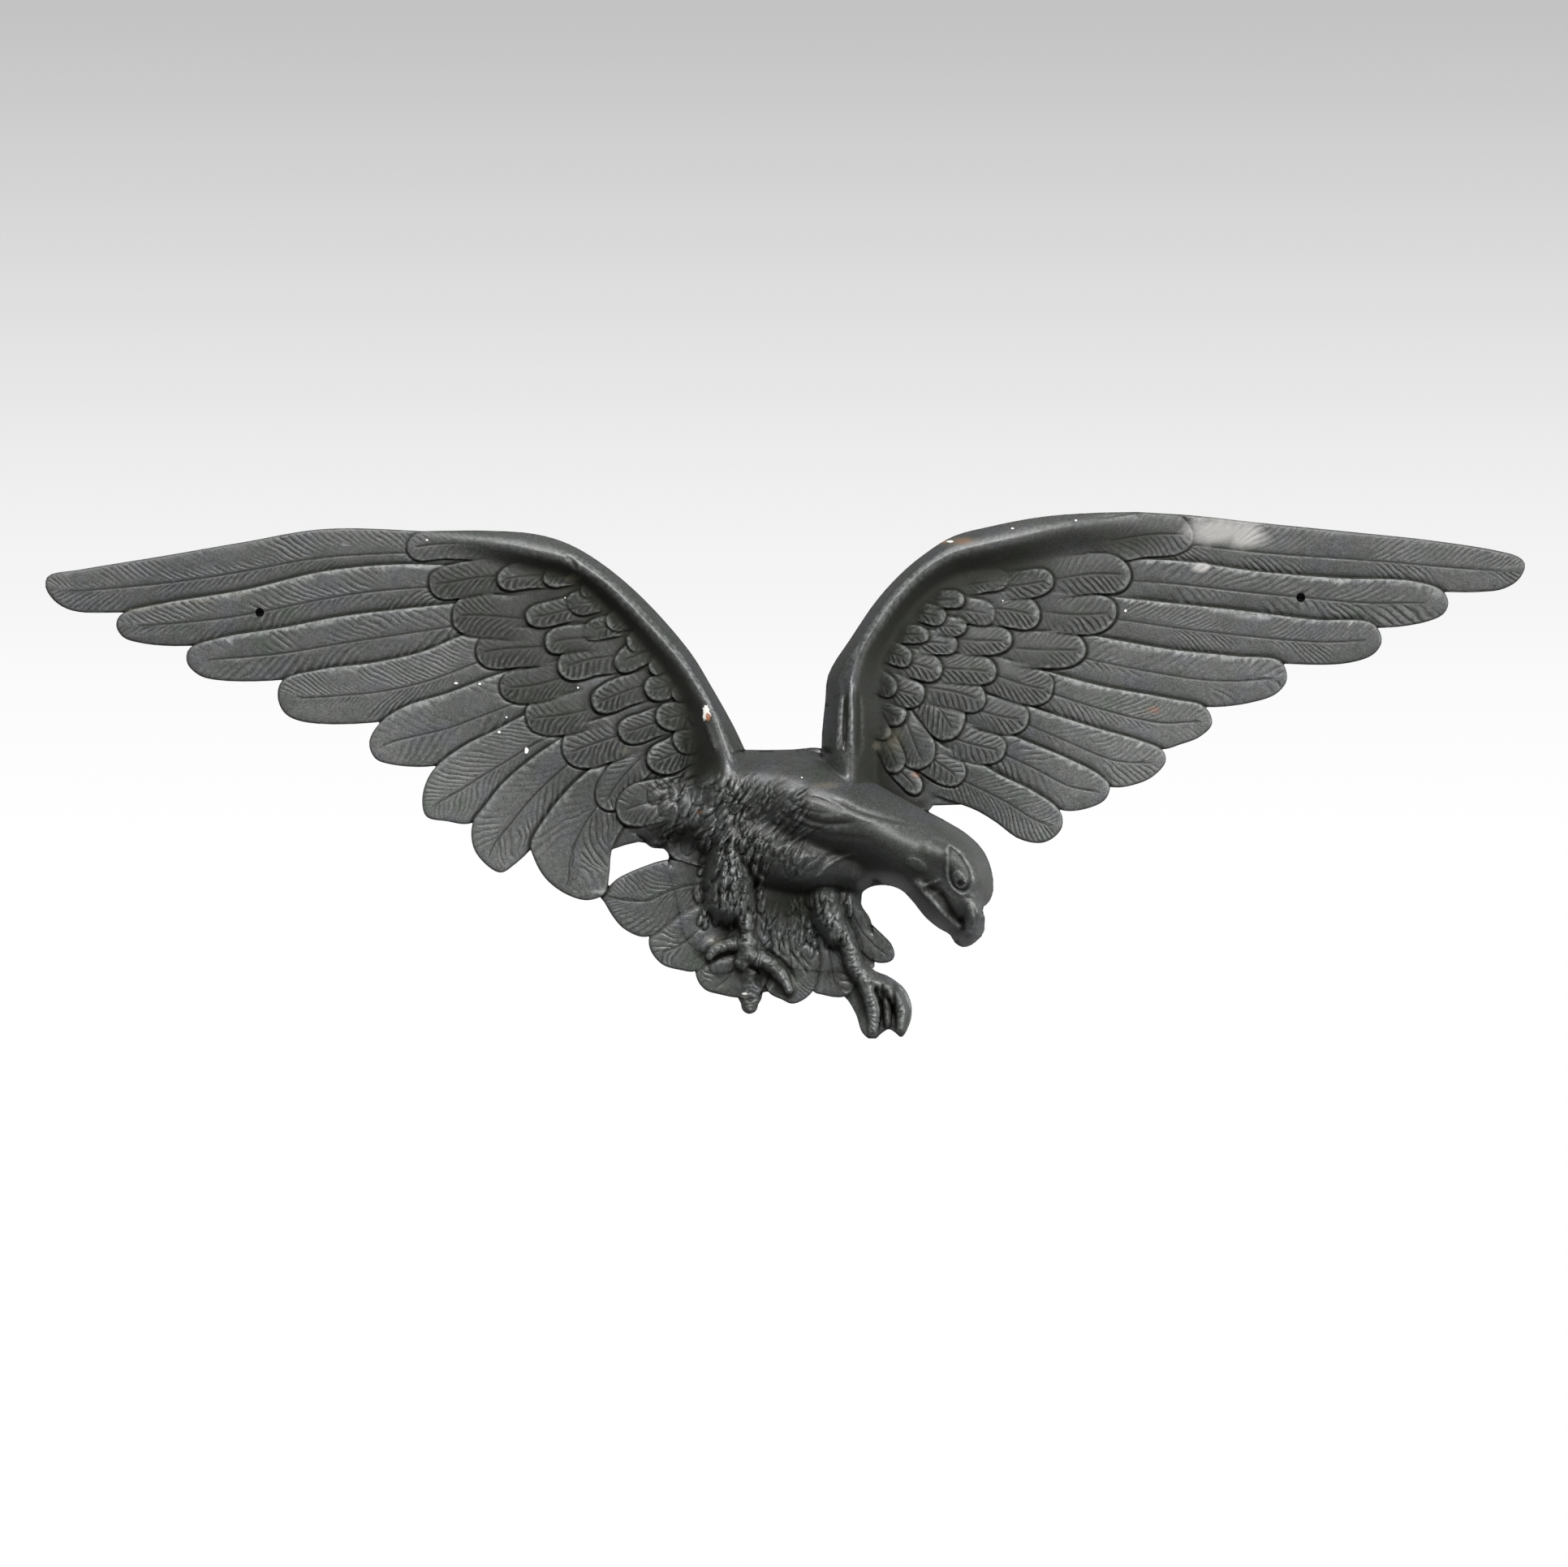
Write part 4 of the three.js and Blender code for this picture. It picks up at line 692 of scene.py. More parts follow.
def lay_roll(relief, edge, crest, heights):
    """The rolled front edge of a wing. Its section rises from a rim at the outline, fast and then
    slowly, to the crest. Behind the crest it falls steeply to a hollow, in which the feathers that
    are there come up little by little."""
    outer, ridge = spline(edge, 90), spline(crest, 90)
    part, x, z = relief.window(np.vstack([outer, ridge]), 30)
    from_edge = nearest(outer, x, z)[0]
    from_ridge, s, side = nearest(ridge, x, z)
    length = run_of(ridge)[-1]
    run = s / length
    wide = np.interp(run, np.linspace(0, 1, 90), blur_line(np.linalg.norm(outer - ridge, axis=1)))
    front = side * np.sign(signed_side(ridge, outer)) > 0
    height = heights[0] + (heights[1] - heights[0]) * run**0.8
    rim = 7 + 8 * run
    share = np.clip(from_edge / np.maximum(from_edge + from_ridge, 1e-6), 0, 1)
    rise = rim + (height - rim) * np.sin(share * math.pi / 2) ** 0.9
    ground = wing_ground(x, z)
    behind = np.clip(from_ridge / (VALLEY_SHARE * wide + 2), 0, 2.4)
    fall = 0.5 + 0.5 * np.cos(np.clip(behind, 0, 1) * math.pi)
    valley = VALLEY_DEPTH * np.exp(-(((behind - 0.9) / 0.45) ** 2)) * step(0.03, 0.3, run)
    old = relief.height[part]
    detail = (old - ground) * step(0.5, 1.5, behind)
    drop = ground + (height - ground) * fall - valley + detail
    inside = signed_distance(np.vstack([outer, ridge[::-1]]), x, z)
    fade = step(0, WRIST_FADE, s)
    laid = np.where(front, rise, drop) * fade + old * (1 - fade)
    shown = ((inside < 0) | (~front & (s < length - 0.01))) & (old > 0)
    relief.height[part] = np.where(shown, laid, old)
    covered = np.where(front, fade, fade * (1 - step(0.5, 1.4, behind)))
    relief.barbed[part] *= np.where(shown, 1 - covered, 1)
    relief.shaft[part] = np.where(shown & (covered > 0.5), FAR, relief.shaft[part])
    # Painted shade, also made matt, in the valley behind the roll's crest: whole near the crest and fading out further
    # on. The roll's front is cleared of painted shade laid before it.
    shade_strength = step(VALLEY_SHADE_REACH[1], VALLEY_SHADE_REACH[0], from_ridge) * step(0, 4, from_ridge) * step(0.05, 0.3, run)
    clean = relief.painted_shade[part] * np.where(shown & front, 1 - fade, 1)
    relief.painted_shade[part] = np.maximum(clean, np.where(front, 0, ROLL_VALLEY_SHADE * shade_strength))


def blur_line(values):
    """A list of numbers, each the mean of its seventeen neighbours."""
    return np.convolve(np.pad(values, 8, mode="edge"), np.ones(17) / 17, mode="valid")


def signed_side(line, other):
    """Which side of a line another line lies on, +1 for its left."""
    middle = len(other) // 2
    return nearest(line, other[middle : middle + 1, 0], other[middle : middle + 1, 1])[2][0]


def along(values, share):
    """The value that an evenly spaced list, with its corners rounded, reaches at a share of its
    length."""
    even = np.linspace(0, 1, 81)
    return np.interp(share, even, blur_line(np.interp(even, np.linspace(0, 1, len(values)), values)))


def form_height(forms, blend, x, z):
    """Height of a group of forms. Each is highest on its route and round across it, and they are
    blended by the logarithm of the sum of their exponentials, which rounds the valleys between."""
    total = np.zeros(x.shape)
    for route, widths, crests in forms:
        line = spline(route, 80)
        reach, s, _ = nearest(line, x, z)
        share = s / run_of(line)[-1]
        across = np.clip(reach / along(widths, share), 0, 1)
        total += np.exp(along(crests, share) * (1 - across**2) ** FORM_ROUNDNESS / blend)
    return blend * np.log(total)


def body_height(x, z):
    """Height of the body: the torso and neck under the head."""
    torso = form_height(TORSO_FORMS, TORSO_BLEND, x, z)
    head = form_height(HEAD_FORMS, HEAD_BLEND, x, z)
    both = HEAD_BLEND * np.log(np.exp(torso / HEAD_BLEND) + np.exp(head / HEAD_BLEND))
    return np.maximum(FORM_FLOOR, both)


def lay_limb(relief, route, widths, crest, ground, scales=SCALE_DEPTH):
    """A leg or toe: a bar with a round section along a route, ringed with small scales, and blended
    with what is there by the logarithm of the sum of their exponentials."""
    line = spline(route, 30)
    part, x, z = relief.window(line, max(widths) + MARGIN)
    reach, s, _ = nearest(line, x, z)
    run = s / run_of(line)[-1]
    half = along(widths, run) * (0.9 + 0.25 * noise(s / 3, 0 * s, 33))
    top = ground + (crest - 2 * run - ground) * np.sqrt(np.clip(1 - (reach / half) ** 2, 0, 1))
    bend = 0.25 * (reach / half) ** 2 + 1.2 * noise(x / 3, z / 3, 31)
    rings = (0.5 + 0.5 * np.cos(2 * math.pi * (s / SCALE_PITCH + bend))) ** 3
    top -= scales * rings * np.clip(1.6 * noise(x / 5, z / 5, 32) - 0.2, 0, 1)
    top += KNOB_HEIGHT * (noise(x / 1.9, z / 1.9, 34) - 0.5)
    inside = reach < half
    height = relief.height[part]
    covered = inside & (top > height)
    both = LIMB_BLEND * np.logaddexp(height / LIMB_BLEND, top / LIMB_BLEND)
    relief.height[part] = np.where(inside, both, height)
    relief.barbed[part] *= np.where(covered, 0, 1)
    relief.shaft[part] = np.where(covered, FAR, relief.shaft[part])
    relief.edge[part] = np.minimum(relief.edge[part], reach - half)


def tuft(relief, x0, z0, heading, length, width, rise, shade_strength, seed, style):
    """A lock of small feathers raised on the form under it: like a covert, but added to the height
    that is there, with soft edges and long hair lines."""
    angle = math.radians(heading)
    ux, uz = math.cos(angle), math.sin(angle)
    part, x, z = relief.window([(x0, z0), (x0 - ux * length, z0 - uz * length)], width / 2 + 3)
    back = (x0 - x) * ux + (z0 - z) * uz
    across = -(x - x0) * uz + (z - z0) * ux
    across = across + 0.22 * width * np.sin(back / length * 3 + seed)
    half, nose = width / 2, (0.7 + 0.5 * noise(np.array(seed * 0.7), np.array(0.0), 3)) * width
    ahead = np.clip((nose - back) / nose, 0, None)
    ring = np.sqrt(ahead**2 + (across / half) ** 2)
    out = np.where(ahead > 0, (ring - 1) * half, np.abs(across) - half)
    out = out + 0.7 * (noise(x / 4, z / 4, seed) - 0.5)
    run = np.clip(1 - back / length, 0, 1)
    lift = rise * run**1.3 * step(0, 0.3 * width, -out)
    bent = across / width * 13 + 3 * noise(back / 8, across / 5, seed)
    lines = np.clip(np.cos(bent), 0, 1) ** 2 * np.clip(1.7 * noise(back / 7, across / 2, seed + 4) - 0.2, 0, 1)
    lift -= HAIR_SHARE * style.barb_depth * lines * step(0.1, 1.2, -out) * step(0.1, 0.5, run)
    cut = 0.45 * rise * np.exp(-((np.maximum(out, 0) / 0.8) ** 2)) * step(0.35, 0.8, run)
    change = np.where((out < 0) & (back < length), lift, -cut * (run > 0) * (back < length))
    relief.height[part] += np.where(relief.height[part] > 0, change, 0)
    # Painted shade over the lock at its strength.
    covered = shade_strength * step(0, 2, -out) * step(0.1, 0.5, run)
    relief.painted_shade[part] = np.maximum(relief.painted_shade[part], covered)


def crease(relief, points, width, depth, ends=0.25):
    """A ridge, or for a negative depth a groove, along a curve: bell-shaped across, fading at both
    ends."""
    line = spline(points, 30)
    part, x, z = relief.window(line, 3 * width)
    reach, s, _ = nearest(line, x, z)
    run = s / run_of(line)[-1]
    fade = step(0, ends, run) * step(0, ends, 1 - run)
    change = depth * np.exp(-((reach / width) ** 2)) * fade
    relief.height[part] += np.where(relief.height[part] > 0, change, 0)


def dome(relief, x0, z0, long, short, heading, height, power=0.5):
    """An oval swelling, or for a negative height a hollow: one less the square of the distance from
    the middle in radii, to a power."""
    angle = math.radians(heading)
    part, x, z = relief.window([(x0, z0)], max(long, short) + 1)
    a = (x - x0) * math.cos(angle) + (z - z0) * math.sin(angle)
    b = -(x - x0) * math.sin(angle) + (z - z0) * math.cos(angle)
    inside = np.clip(1 - (a / long) ** 2 - (b / short) ** 2, 0, 1)
    relief.height[part] += height * inside**power


def wing(relief, style, primaries, wrist, coverts, edge, crest, heights, plate_lower, seed, shade_strength):
    """One wing, from the flight feathers up to the rolled front edge."""
    plate = np.vstack([spline(edge, 60)[:-6], np.array(plate_lower, float)])
    part, x, z = relief.window(plate)
    out = signed_distance(plate, x, z)
    ground = wing_ground(x, z) - 0.6
    relief.height[part] = np.where(out < 0, np.maximum(relief.height[part], ground), relief.height[part])
    relief.edge[part] = np.minimum(relief.edge[part], out)
    for i, outline in enumerate(primaries):
        lay_vane(relief, outline, wing_ground, style, style.lap, seed + 10 * i)
    for i, row in enumerate(wrist + coverts):
        flat = WRIST_FLATNESS if i < len(wrist) else 1.0
        # Painted shade on the coverts at the wing's strength, weaker on the lower ones and on the wrist feathers.
        covered = shade_strength * (LOW_COVERT_SHADE + (1 - LOW_COVERT_SHADE) * step(*LOW_COVERT_SHADE_SPAN, row[1]))
        covered *= WRIST_SHADE_SHARE if i < len(wrist) else 1.0
        lay_covert(relief, row, wing_ground, style, seed + 100 + 7 * i, flat * style.covert_rise,
                   flat * style.covert_crown, flat * style.groove_depth, 1.05 * flat**2, covered)
    lay_roll(relief, edge, crest, heights)


def tail(relief, style):
    """The tail fan and its feathers."""
    plate = np.array(TAIL_PLATE, float)
    part, x, z = relief.window(plate)
    out = signed_distance(plate, x, z)
    relief.height[part] = np.where(out < 0, np.maximum(relief.height[part], TAIL_HEIGHT - 0.6),
                                   relief.height[part])
    relief.edge[part] = np.minimum(relief.edge[part], out)
    for i, outline in enumerate(TAIL_FEATHERS):
        lay_vane(relief, outline, tail_ground, style, 1.8, 900 + 10 * i)


def body(relief):
    """The body, neck and head over the roots of the wings and the tail."""
    outline = spline(BODY_OUTLINE, 240, closed=True)
    part, x, z = relief.window(outline)
    out = signed_distance(outline, x, z)
    height = relief.height[part]
    proud = body_height(x, z) - height
    both = BODY_BLEND * np.logaddexp(height / BODY_BLEND, body_height(x, z) / BODY_BLEND)
    relief.height[part] = np.where(out < 0, both, height)
    relief.edge[part] = np.minimum(relief.edge[part], out)
    relief.rounding[part] = np.where(out < 0, BODY_ROUNDING, relief.rounding[part])
    relief.barbed[part] *= np.where(out < 0, step(1.5, 0, proud), 1)
    relief.shaft[part] = np.where((out < 0) & (proud > 0.5), FAR, relief.shaft[part])
    # Painted shade is taken off where the body stands proud of what was under it.
    relief.painted_shade[part] *= np.where(out < 0, step(1.5, 0, proud), 1)


def shade_hollows(relief, rows):
    """Painted shade in the deep hollows: oval patches that fade outwards, given by middle, half sizes
    and strength."""
    for x0, z0, wide, high, strength in rows:
        part, x, z = relief.window([(x0 - 1.5 * wide, z0 - 1.5 * high), (x0 + 1.5 * wide, z0 + 1.5 * high)], 0)
        patch = strength * np.exp(-((((x - x0) / wide) ** 2 + ((z - z0) / high) ** 2) ** 2))
        relief.painted_shade[part] = np.maximum(relief.painted_shade[part], patch)


def lines_on(relief, rows):
    """Ridges and grooves from rows of points, width and depth."""
    for points, width, depth in rows:
        crease(relief, points, width, depth)


def plumage(relief, style):
    """The small feathers of the flank, breast and thighs: staggered locks that point down the flow
    of the plumage, the upper ones over the lower."""
    rng = np.random.default_rng(7)
    for (low, high, spacing, size, rise, shade_strength) in PLUMAGE:
        columns = np.arange(low[0], high[0], spacing[0])
        rows = np.arange(low[1], high[1], spacing[1])
        for i, z0 in enumerate(rows):
            for x0 in columns + (i % 2) * spacing[0] / 2:
                x1, z1 = x0 + rng.uniform(-2.2, 2.2), z0 + rng.uniform(-2, 2)
                weights = [1 / (4 + (x1 - fx) ** 2 + (z1 - fz) ** 2) for fx, fz, _ in FLOW]
                heading = np.dot(weights, [h for _, _, h in FLOW]) / sum(weights) + rng.uniform(-22, 22)
                length, width = size[0] * rng.uniform(0.7, 1.2), size[1] * rng.uniform(0.65, 1.25)
                tuft(relief, x1, z1, heading, length, width, rise, shade_strength, int(rng.integers(1000)), style)


def eagle_face(relief):
    """The eye in its ring, the brow, the gape and the hooked beak."""
    lines_on(relief, FACE_LINES)
    ring = spline(EYE_RING, 60, closed=True)
    part, x, z = relief.window(ring)
    out = signed_distance(ring, x, z)
    inner = np.clip(-out / 3.2, 0, 1)
    relief.height[part] += EYE_RING_HEIGHT * np.exp(-((out / 0.75) ** 2)) - EYE_RING_DEPTH * step(0.1, 0.6, inner)
    for row in FACE_DOMES:
        dome(relief, *row)


def feet(relief):
    """Both legs with their toes."""
    web = spline(RIGHT_FOOT, 120, closed=True)
    part, x, z = relief.window(web)
    out = signed_distance(web, x, z)
    height = relief.height[part]
    relief.height[part] = np.where(out < 0, np.maximum(height, TAIL_HEIGHT), height)
    relief.edge[part] = np.minimum(relief.edge[part], out)
    for route, widths, crest in LEGS + RIGHT_TOES:
        lay_limb(relief, route, widths, crest, TAIL_HEIGHT - 4)
    for row in FOOT_DOMES:
        dome(relief, *row)


def carve(style):
    """The whole relief, form over form."""
    low = (CAD_BOX[0][0] / MM - 2, CAD_BOX[0][2] / MM - 2)
    high = (CAD_BOX[1][0] / MM + 2, CAD_BOX[1][2] / MM + 2)
    relief = Relief(low, high, style.cell)
    tail(relief, style)
    wing(relief, style, LEFT_PRIMARIES, LEFT_WRIST, LEFT_COVERTS, LEFT_EDGE, LEFT_CREST,
         LEFT_CREST_HEIGHTS, LEFT_PLATE_LOWER, 100, LEFT_COVERT_SHADE)
    wing(relief, style, RIGHT_PRIMARIES, RIGHT_WRIST, RIGHT_COVERTS, RIGHT_EDGE, RIGHT_CREST,
         RIGHT_CREST_HEIGHTS, RIGHT_PLATE_LOWER, 500, RIGHT_COVERT_SHADE)
    feet(relief)
    body(relief)
    plumage(relief, style)
    lines_on(relief, ROLL_LINES)
    lines_on(relief, NECK_LINES)
    eagle_face(relief)
    lines_on(relief, FOOT_LINES)
    shade_hollows(relief, HOLLOW_SHADE)
    return relief


def inset(relief):
    """The distance from the silhouette at each place inside it: the shortest way to a place on the
    silhouette, worked out on every fourth line of the grid and blended between."""
    inside = relief.edge < 0
    kept = inside.copy()
    for axis in (0, 1):
        for shift in (-1, 1):
            kept &= np.roll(inside, shift, axis)
    rim_rows, rim_columns = np.nonzero(inside & ~kept)
    rim = np.stack([relief.x[rim_columns], relief.z[rim_rows]], axis=1)[::2]
    xs, zs = relief.x[::4], relief.z[::4]
    coarse = np.zeros((len(zs), len(xs)))
    side = np.where(inside[::4, ::4], 1, -1)
    for i, z in enumerate(zs):
        near = rim[np.abs(rim[:, 1] - z) < 60]
        if len(near):
            away = (xs[:, None] - near[None, :, 0]) ** 2 + (z - near[None, :, 1]) ** 2
            coarse[i] = np.sqrt(away.min(1)) * side[i]
    across = np.stack([np.interp(relief.x, xs, row) for row in coarse])
    full = np.stack([np.interp(relief.z, zs, column) for column in across.T], axis=1)
    return np.where(inside, full, 0)


def round_rim(relief, away, radius):
    """The rim of the casting and its screw holes, rounded like a quarter circle."""
    fat = relief.rounding > 0
    share = quarter(away / np.maximum(relief.rounding, 1)) ** 0.8
    relief.height = np.where(fat, FORM_FLOOR + (relief.height - FORM_FLOOR) * share, relief.height)
    drop = radius * (1 - quarter(-relief.edge / radius))
    relief.height -= np.where((relief.edge < 0) & (away < 2 * radius), drop, 0)
    for hole_x, hole_z in SCREW_HOLES:
        part, x, z = relief.window([(hole_x, hole_z)], 8)
        out = SCREW_RADIUS - np.hypot(x - hole_x, z - hole_z)
        relief.edge[part] = np.maximum(relief.edge[part], out)
        relief.height[part] -= HOLE_ROUNDING * (1 - quarter(-out / HOLE_ROUNDING)) * (out < 0)


def hollow_of(relief, away, style):
    """How far the hollow of the back reaches in from the wall plane: nothing along the rim and round
    the screw holes, and elsewhere the smoothed front less the wall's thickness."""
    smooth_front = blur(relief.height, 3.0, relief.cell)
    deep = np.clip(smooth_front - style.wall, 0, HOLLOW_LIMIT)
    deep = np.minimum(deep, np.clip(relief.height - 0.7 * style.wall, 0, None))
    deep *= step(style.rim, style.rim + 2.5, away)
    for hole_x, hole_z in SCREW_HOLES:
        part, x, z = relief.window([(hole_x, hole_z)], 14)
        deep[part] *= step(BOSS_RADIUS, BOSS_RADIUS + 1.5, np.hypot(x - hole_x, z - hole_z))
    return deep


def surface_of(relief, deep):
    """The closed surface of the casting, as places in millimetres and triangles. Grid places near the
    silhouette move onto it along the slope of its distance. Each square of the grid is folded along
    its more level diagonal. The back repeats the front's triangles the other way round, and a wall
    joins both along the silhouette."""
    cell = relief.cell
    slope_z, slope_x = np.gradient(relief.edge, cell)
    size = np.maximum(np.hypot(slope_x, slope_z), 0.3)
    pull = np.where(np.abs(relief.edge) < 0.7 * cell, relief.edge / size**2, 0)
    pull = np.clip(pull, -cell, cell)
    x, z = np.meshgrid(relief.x, relief.z)
    x, z = x - pull * slope_x, z - pull * slope_z
    height = relief.height.copy()
    spread = blur(np.where(relief.edge < 0, height, 0), cell, cell)
    weight = blur((relief.edge < 0).astype(float), cell, cell)
    outside = (relief.edge >= 0) & (weight > 1e-3)
    height[outside] = spread[outside] / weight[outside]
    keep = relief.edge < 0.5 * cell
    while True:
        triangles = folded(keep, height)
        first, rim = rim_edges(triangles, keep.size)
        doubled = np.bincount(first, minlength=keep.size) > 1
        if not doubled.any():
            break
        keep.flat[np.nonzero(doubled)[0]] = False
    used = np.zeros(keep.size, bool)
    used[triangles.ravel()] = True
    number = np.cumsum(used) - 1
    front = np.stack([x.ravel()[used], -height.ravel()[used], z.ravel()[used]], axis=1)
    back = front.copy()
    back[:, 1] = -np.where(relief.edge.ravel()[used] < -cell, deep.ravel()[used], 0)
    triangles, rim = number[triangles], number[rim]
    count = len(front)
    a, b = rim[:, 0], rim[:, 1]
    walls = np.vstack([np.stack([b, a, a + count], axis=1), np.stack([b, a + count, b + count], axis=1)])
    return np.vstack([front, back]), np.vstack([triangles, triangles[:, ::-1] + count, walls])


def with_shade_discs(places, triangles):
    """Adds a thin round disc that closes each screw hole near the wall plane: a dark sheet in the black
    paint standing in for the shade seen through the hole.
    """
    turn = np.linspace(0, 2 * math.pi, SHADE_DISC_SIDES + 1)[:-1]
    for hole_x, hole_z in SCREW_HOLES:
        rings = []
        for radius, y in ((0, SHADE_DISC_FRONT), (SHADE_DISC_RADIUS, SHADE_DISC_FRONT), (SHADE_DISC_RADIUS, SHADE_DISC_BACK), (0, SHADE_DISC_BACK)):
            size = 1 if radius == 0 else SHADE_DISC_SIDES
            angle = turn[:size]
            rings.append(np.stack([hole_x + radius * np.cos(angle), np.full(size, y),
                                   hole_z + radius * np.sin(angle)], axis=1))
        start = len(places)
        first = start + 1 + np.arange(SHADE_DISC_SIDES)
        after = start + 1 + (np.arange(SHADE_DISC_SIDES) + 1) % SHADE_DISC_SIDES
        front, back = np.full(SHADE_DISC_SIDES, start), np.full(SHADE_DISC_SIDES, start + 1 + 2 * SHADE_DISC_SIDES)
        disc = [(front, first, after), (first, first + SHADE_DISC_SIDES, after + SHADE_DISC_SIDES),
                (first, after + SHADE_DISC_SIDES, after), (back, after + SHADE_DISC_SIDES, first + SHADE_DISC_SIDES)]
        places = np.vstack([places] + rings)
        triangles = np.vstack([triangles] + [np.stack(three, axis=1) for three in disc])
    return places, triangles


def folded(keep, height):
    """Two triangles for each grid square whose corners are all kept, and one where three are."""
    rows, columns = keep.shape
    index = np.arange(keep.size).reshape(rows, columns)
    corners = [index[:-1, :-1], index[:-1, 1:], index[1:, 1:], index[1:, :-1]]
    kept = [keep.ravel()[c] for c in corners]
    a, b, c, d = corners
    flat = height.ravel()
    level = np.abs(flat[a] - flat[c]) < np.abs(flat[b] - flat[d])
    whole = kept[0] & kept[1] & kept[2] & kept[3]
    found = []
    for choice, (p, q, r, s) in ((whole & level, (a, b, c, d)), (whole & ~level, (b, c, d, a))):
        found += [np.stack([v[choice] for v in three], axis=1) for three in ((p, q, r), (p, r, s))]
    for gone in range(4):
        others = [(gone + k) % 4 for k in (1, 2, 3)]
        choice = ~kept[gone] & kept[others[0]] & kept[others[1]] & kept[others[2]]
        found.append(np.stack([corners[k][choice] for k in others], axis=1))
    return np.vstack(found)


def rim_edges(triangles, size):
    """The directed edges that only one triangle uses, and the places where they start."""
    start = triangles.ravel()
    end = np.roll(triangles, -1, axis=1).ravel()
    key = start * size + end
    alone = ~np.isin(key, end * size + start)
    return start[alone], np.stack([start[alone], end[alone]], axis=1)


def sampled(relief, values, places):
    """Values of the grid at places given in metres, blended between the four nearest."""
    column = np.clip((places[:, 0] / MM - relief.x[0]) / relief.cell, 0, len(relief.x) - 1.001)
    row = np.clip((places[:, 2] / MM - relief.z[0]) / relief.cell, 0, len(relief.z) - 1.001)
    i, j = row.astype(int), column.astype(int)
    fi, fj = row - i, column - j
    low = values[i, j] * (1 - fj) + values[i, j + 1] * fj
    high = values[i + 1, j] * (1 - fj) + values[i + 1, j + 1] * fj
    return low * (1 - fi) + high * fi


def new_mesh(name, places, triangles):
    """A mesh from arrays of places in metres and triangles."""
    mesh = bpy.data.meshes.new(name)
    mesh.vertices.add(len(places))
    mesh.vertices.foreach_set("co", places.astype(np.float32).ravel())
    mesh.loops.add(triangles.size)
    mesh.loops.foreach_set("vertex_index", triangles.astype(np.int32).ravel())
    mesh.polygons.add(len(triangles))
    mesh.polygons.foreach_set("loop_start", np.arange(0, triangles.size, 3, dtype=np.int32))
    mesh.update(calc_edges=True)
    mesh.validate()
    return mesh


def thinned(piece, target):
    """Joins the points of a piece where it is flattest until about the target number of triangles is
    left."""
    cut = piece.modifiers.new("fewer", "DECIMATE")
    cut.ratio = min(1.0, target / len(piece.data.polygons))
    cut.use_collapse_triangulate = True
    whole = piece.data
    seen = piece.evaluated_get(bpy.context.evaluated_depsgraph_get())
    piece.data = bpy.data.meshes.new_from_object(seen)
    piece.modifiers.clear()
    bpy.data.meshes.remove(whole)


def paint_marks(piece, relief, deep):
    """Writes on each point how proud of its surroundings it is and how far down in them, as the
    height less its means over a narrow and a wide neighbourhood."""
    height = np.where(relief.edge < 0, relief.height, 0)
    inside = (relief.edge < 0).astype(float)
    marks = {}
    for name, radius in (("fine", 1.2), ("broad", 4.0)):
        mean = blur(height, radius, relief.cell) / np.maximum(blur(inside, radius, relief.cell), 0.2)
        marks[name] = np.where(inside > 0, relief.height - mean, 0)
    slope_z, slope_x = np.gradient(blur(height, 2.0, relief.cell), relief.cell)
    level = step(2.2, 1.2, np.hypot(slope_x, slope_z)) * step(0.1, 0.7, -relief.edge)
    for name in marks:
        marks[name] *= level
    marks["barb_count"] = relief.phase
    marks["barb_strength"] = relief.barbed
    marks["front"] = np.ones(height.shape)
    marks["shaft"] = np.clip(relief.shaft, -SHAFT_REACH, SHAFT_REACH)
    marks["painted_shade"] = relief.painted_shade
    mesh = piece.data
    places = np.empty(3 * len(mesh.vertices), np.float32)
    mesh.vertices.foreach_get("co", places)
    places = places.reshape(-1, 3).astype(float)
    front = -places[:, 1] / MM > sampled(relief, deep, places) + 1
    for name, values in marks.items():
        layer = mesh.attributes.new(name, "FLOAT", "POINT")
        layer.data.foreach_set("value", np.where(front, sampled(relief, values, places), 0).astype(np.float32))


def node(tree, kind, inputs=None, **settings):
    """A shader node with its settings and the values or links of its inputs."""
    made = tree.nodes.new("ShaderNode" + kind)
    for name, value in settings.items():
        setattr(made, name, value)
    for name, value in (inputs or {}).items():
        socket = made.inputs[name]
        if isinstance(value, bpy.types.NodeSocket):
            tree.links.new(value, socket)
        else:
            socket.default_value = value
    return made


def blended(tree, share, first, second):
    """A colour between two, by a share."""
    made = node(tree, "Mix", data_type="RGBA")
    for socket, value in zip((made.inputs[0], made.inputs[6], made.inputs[7]), (share, first, second)):
        if isinstance(value, bpy.types.NodeSocket):
            tree.links.new(value, socket)
        else:
            socket.default_value = value
    return made.outputs[2]


def ranged(tree, value, low, high, to_low=0.0, to_high=1.0):
    """A value moved from one range to another and kept inside it."""
    return node(tree, "MapRange", {"Value": value, "From Min": low, "From Max": high,
                                   "To Min": to_low, "To Max": to_high}).outputs[0]


def maths(tree, operation, *values):
    """The result of one sum."""
    return node(tree, "Math", dict(enumerate(values)), operation=operation).outputs[0]


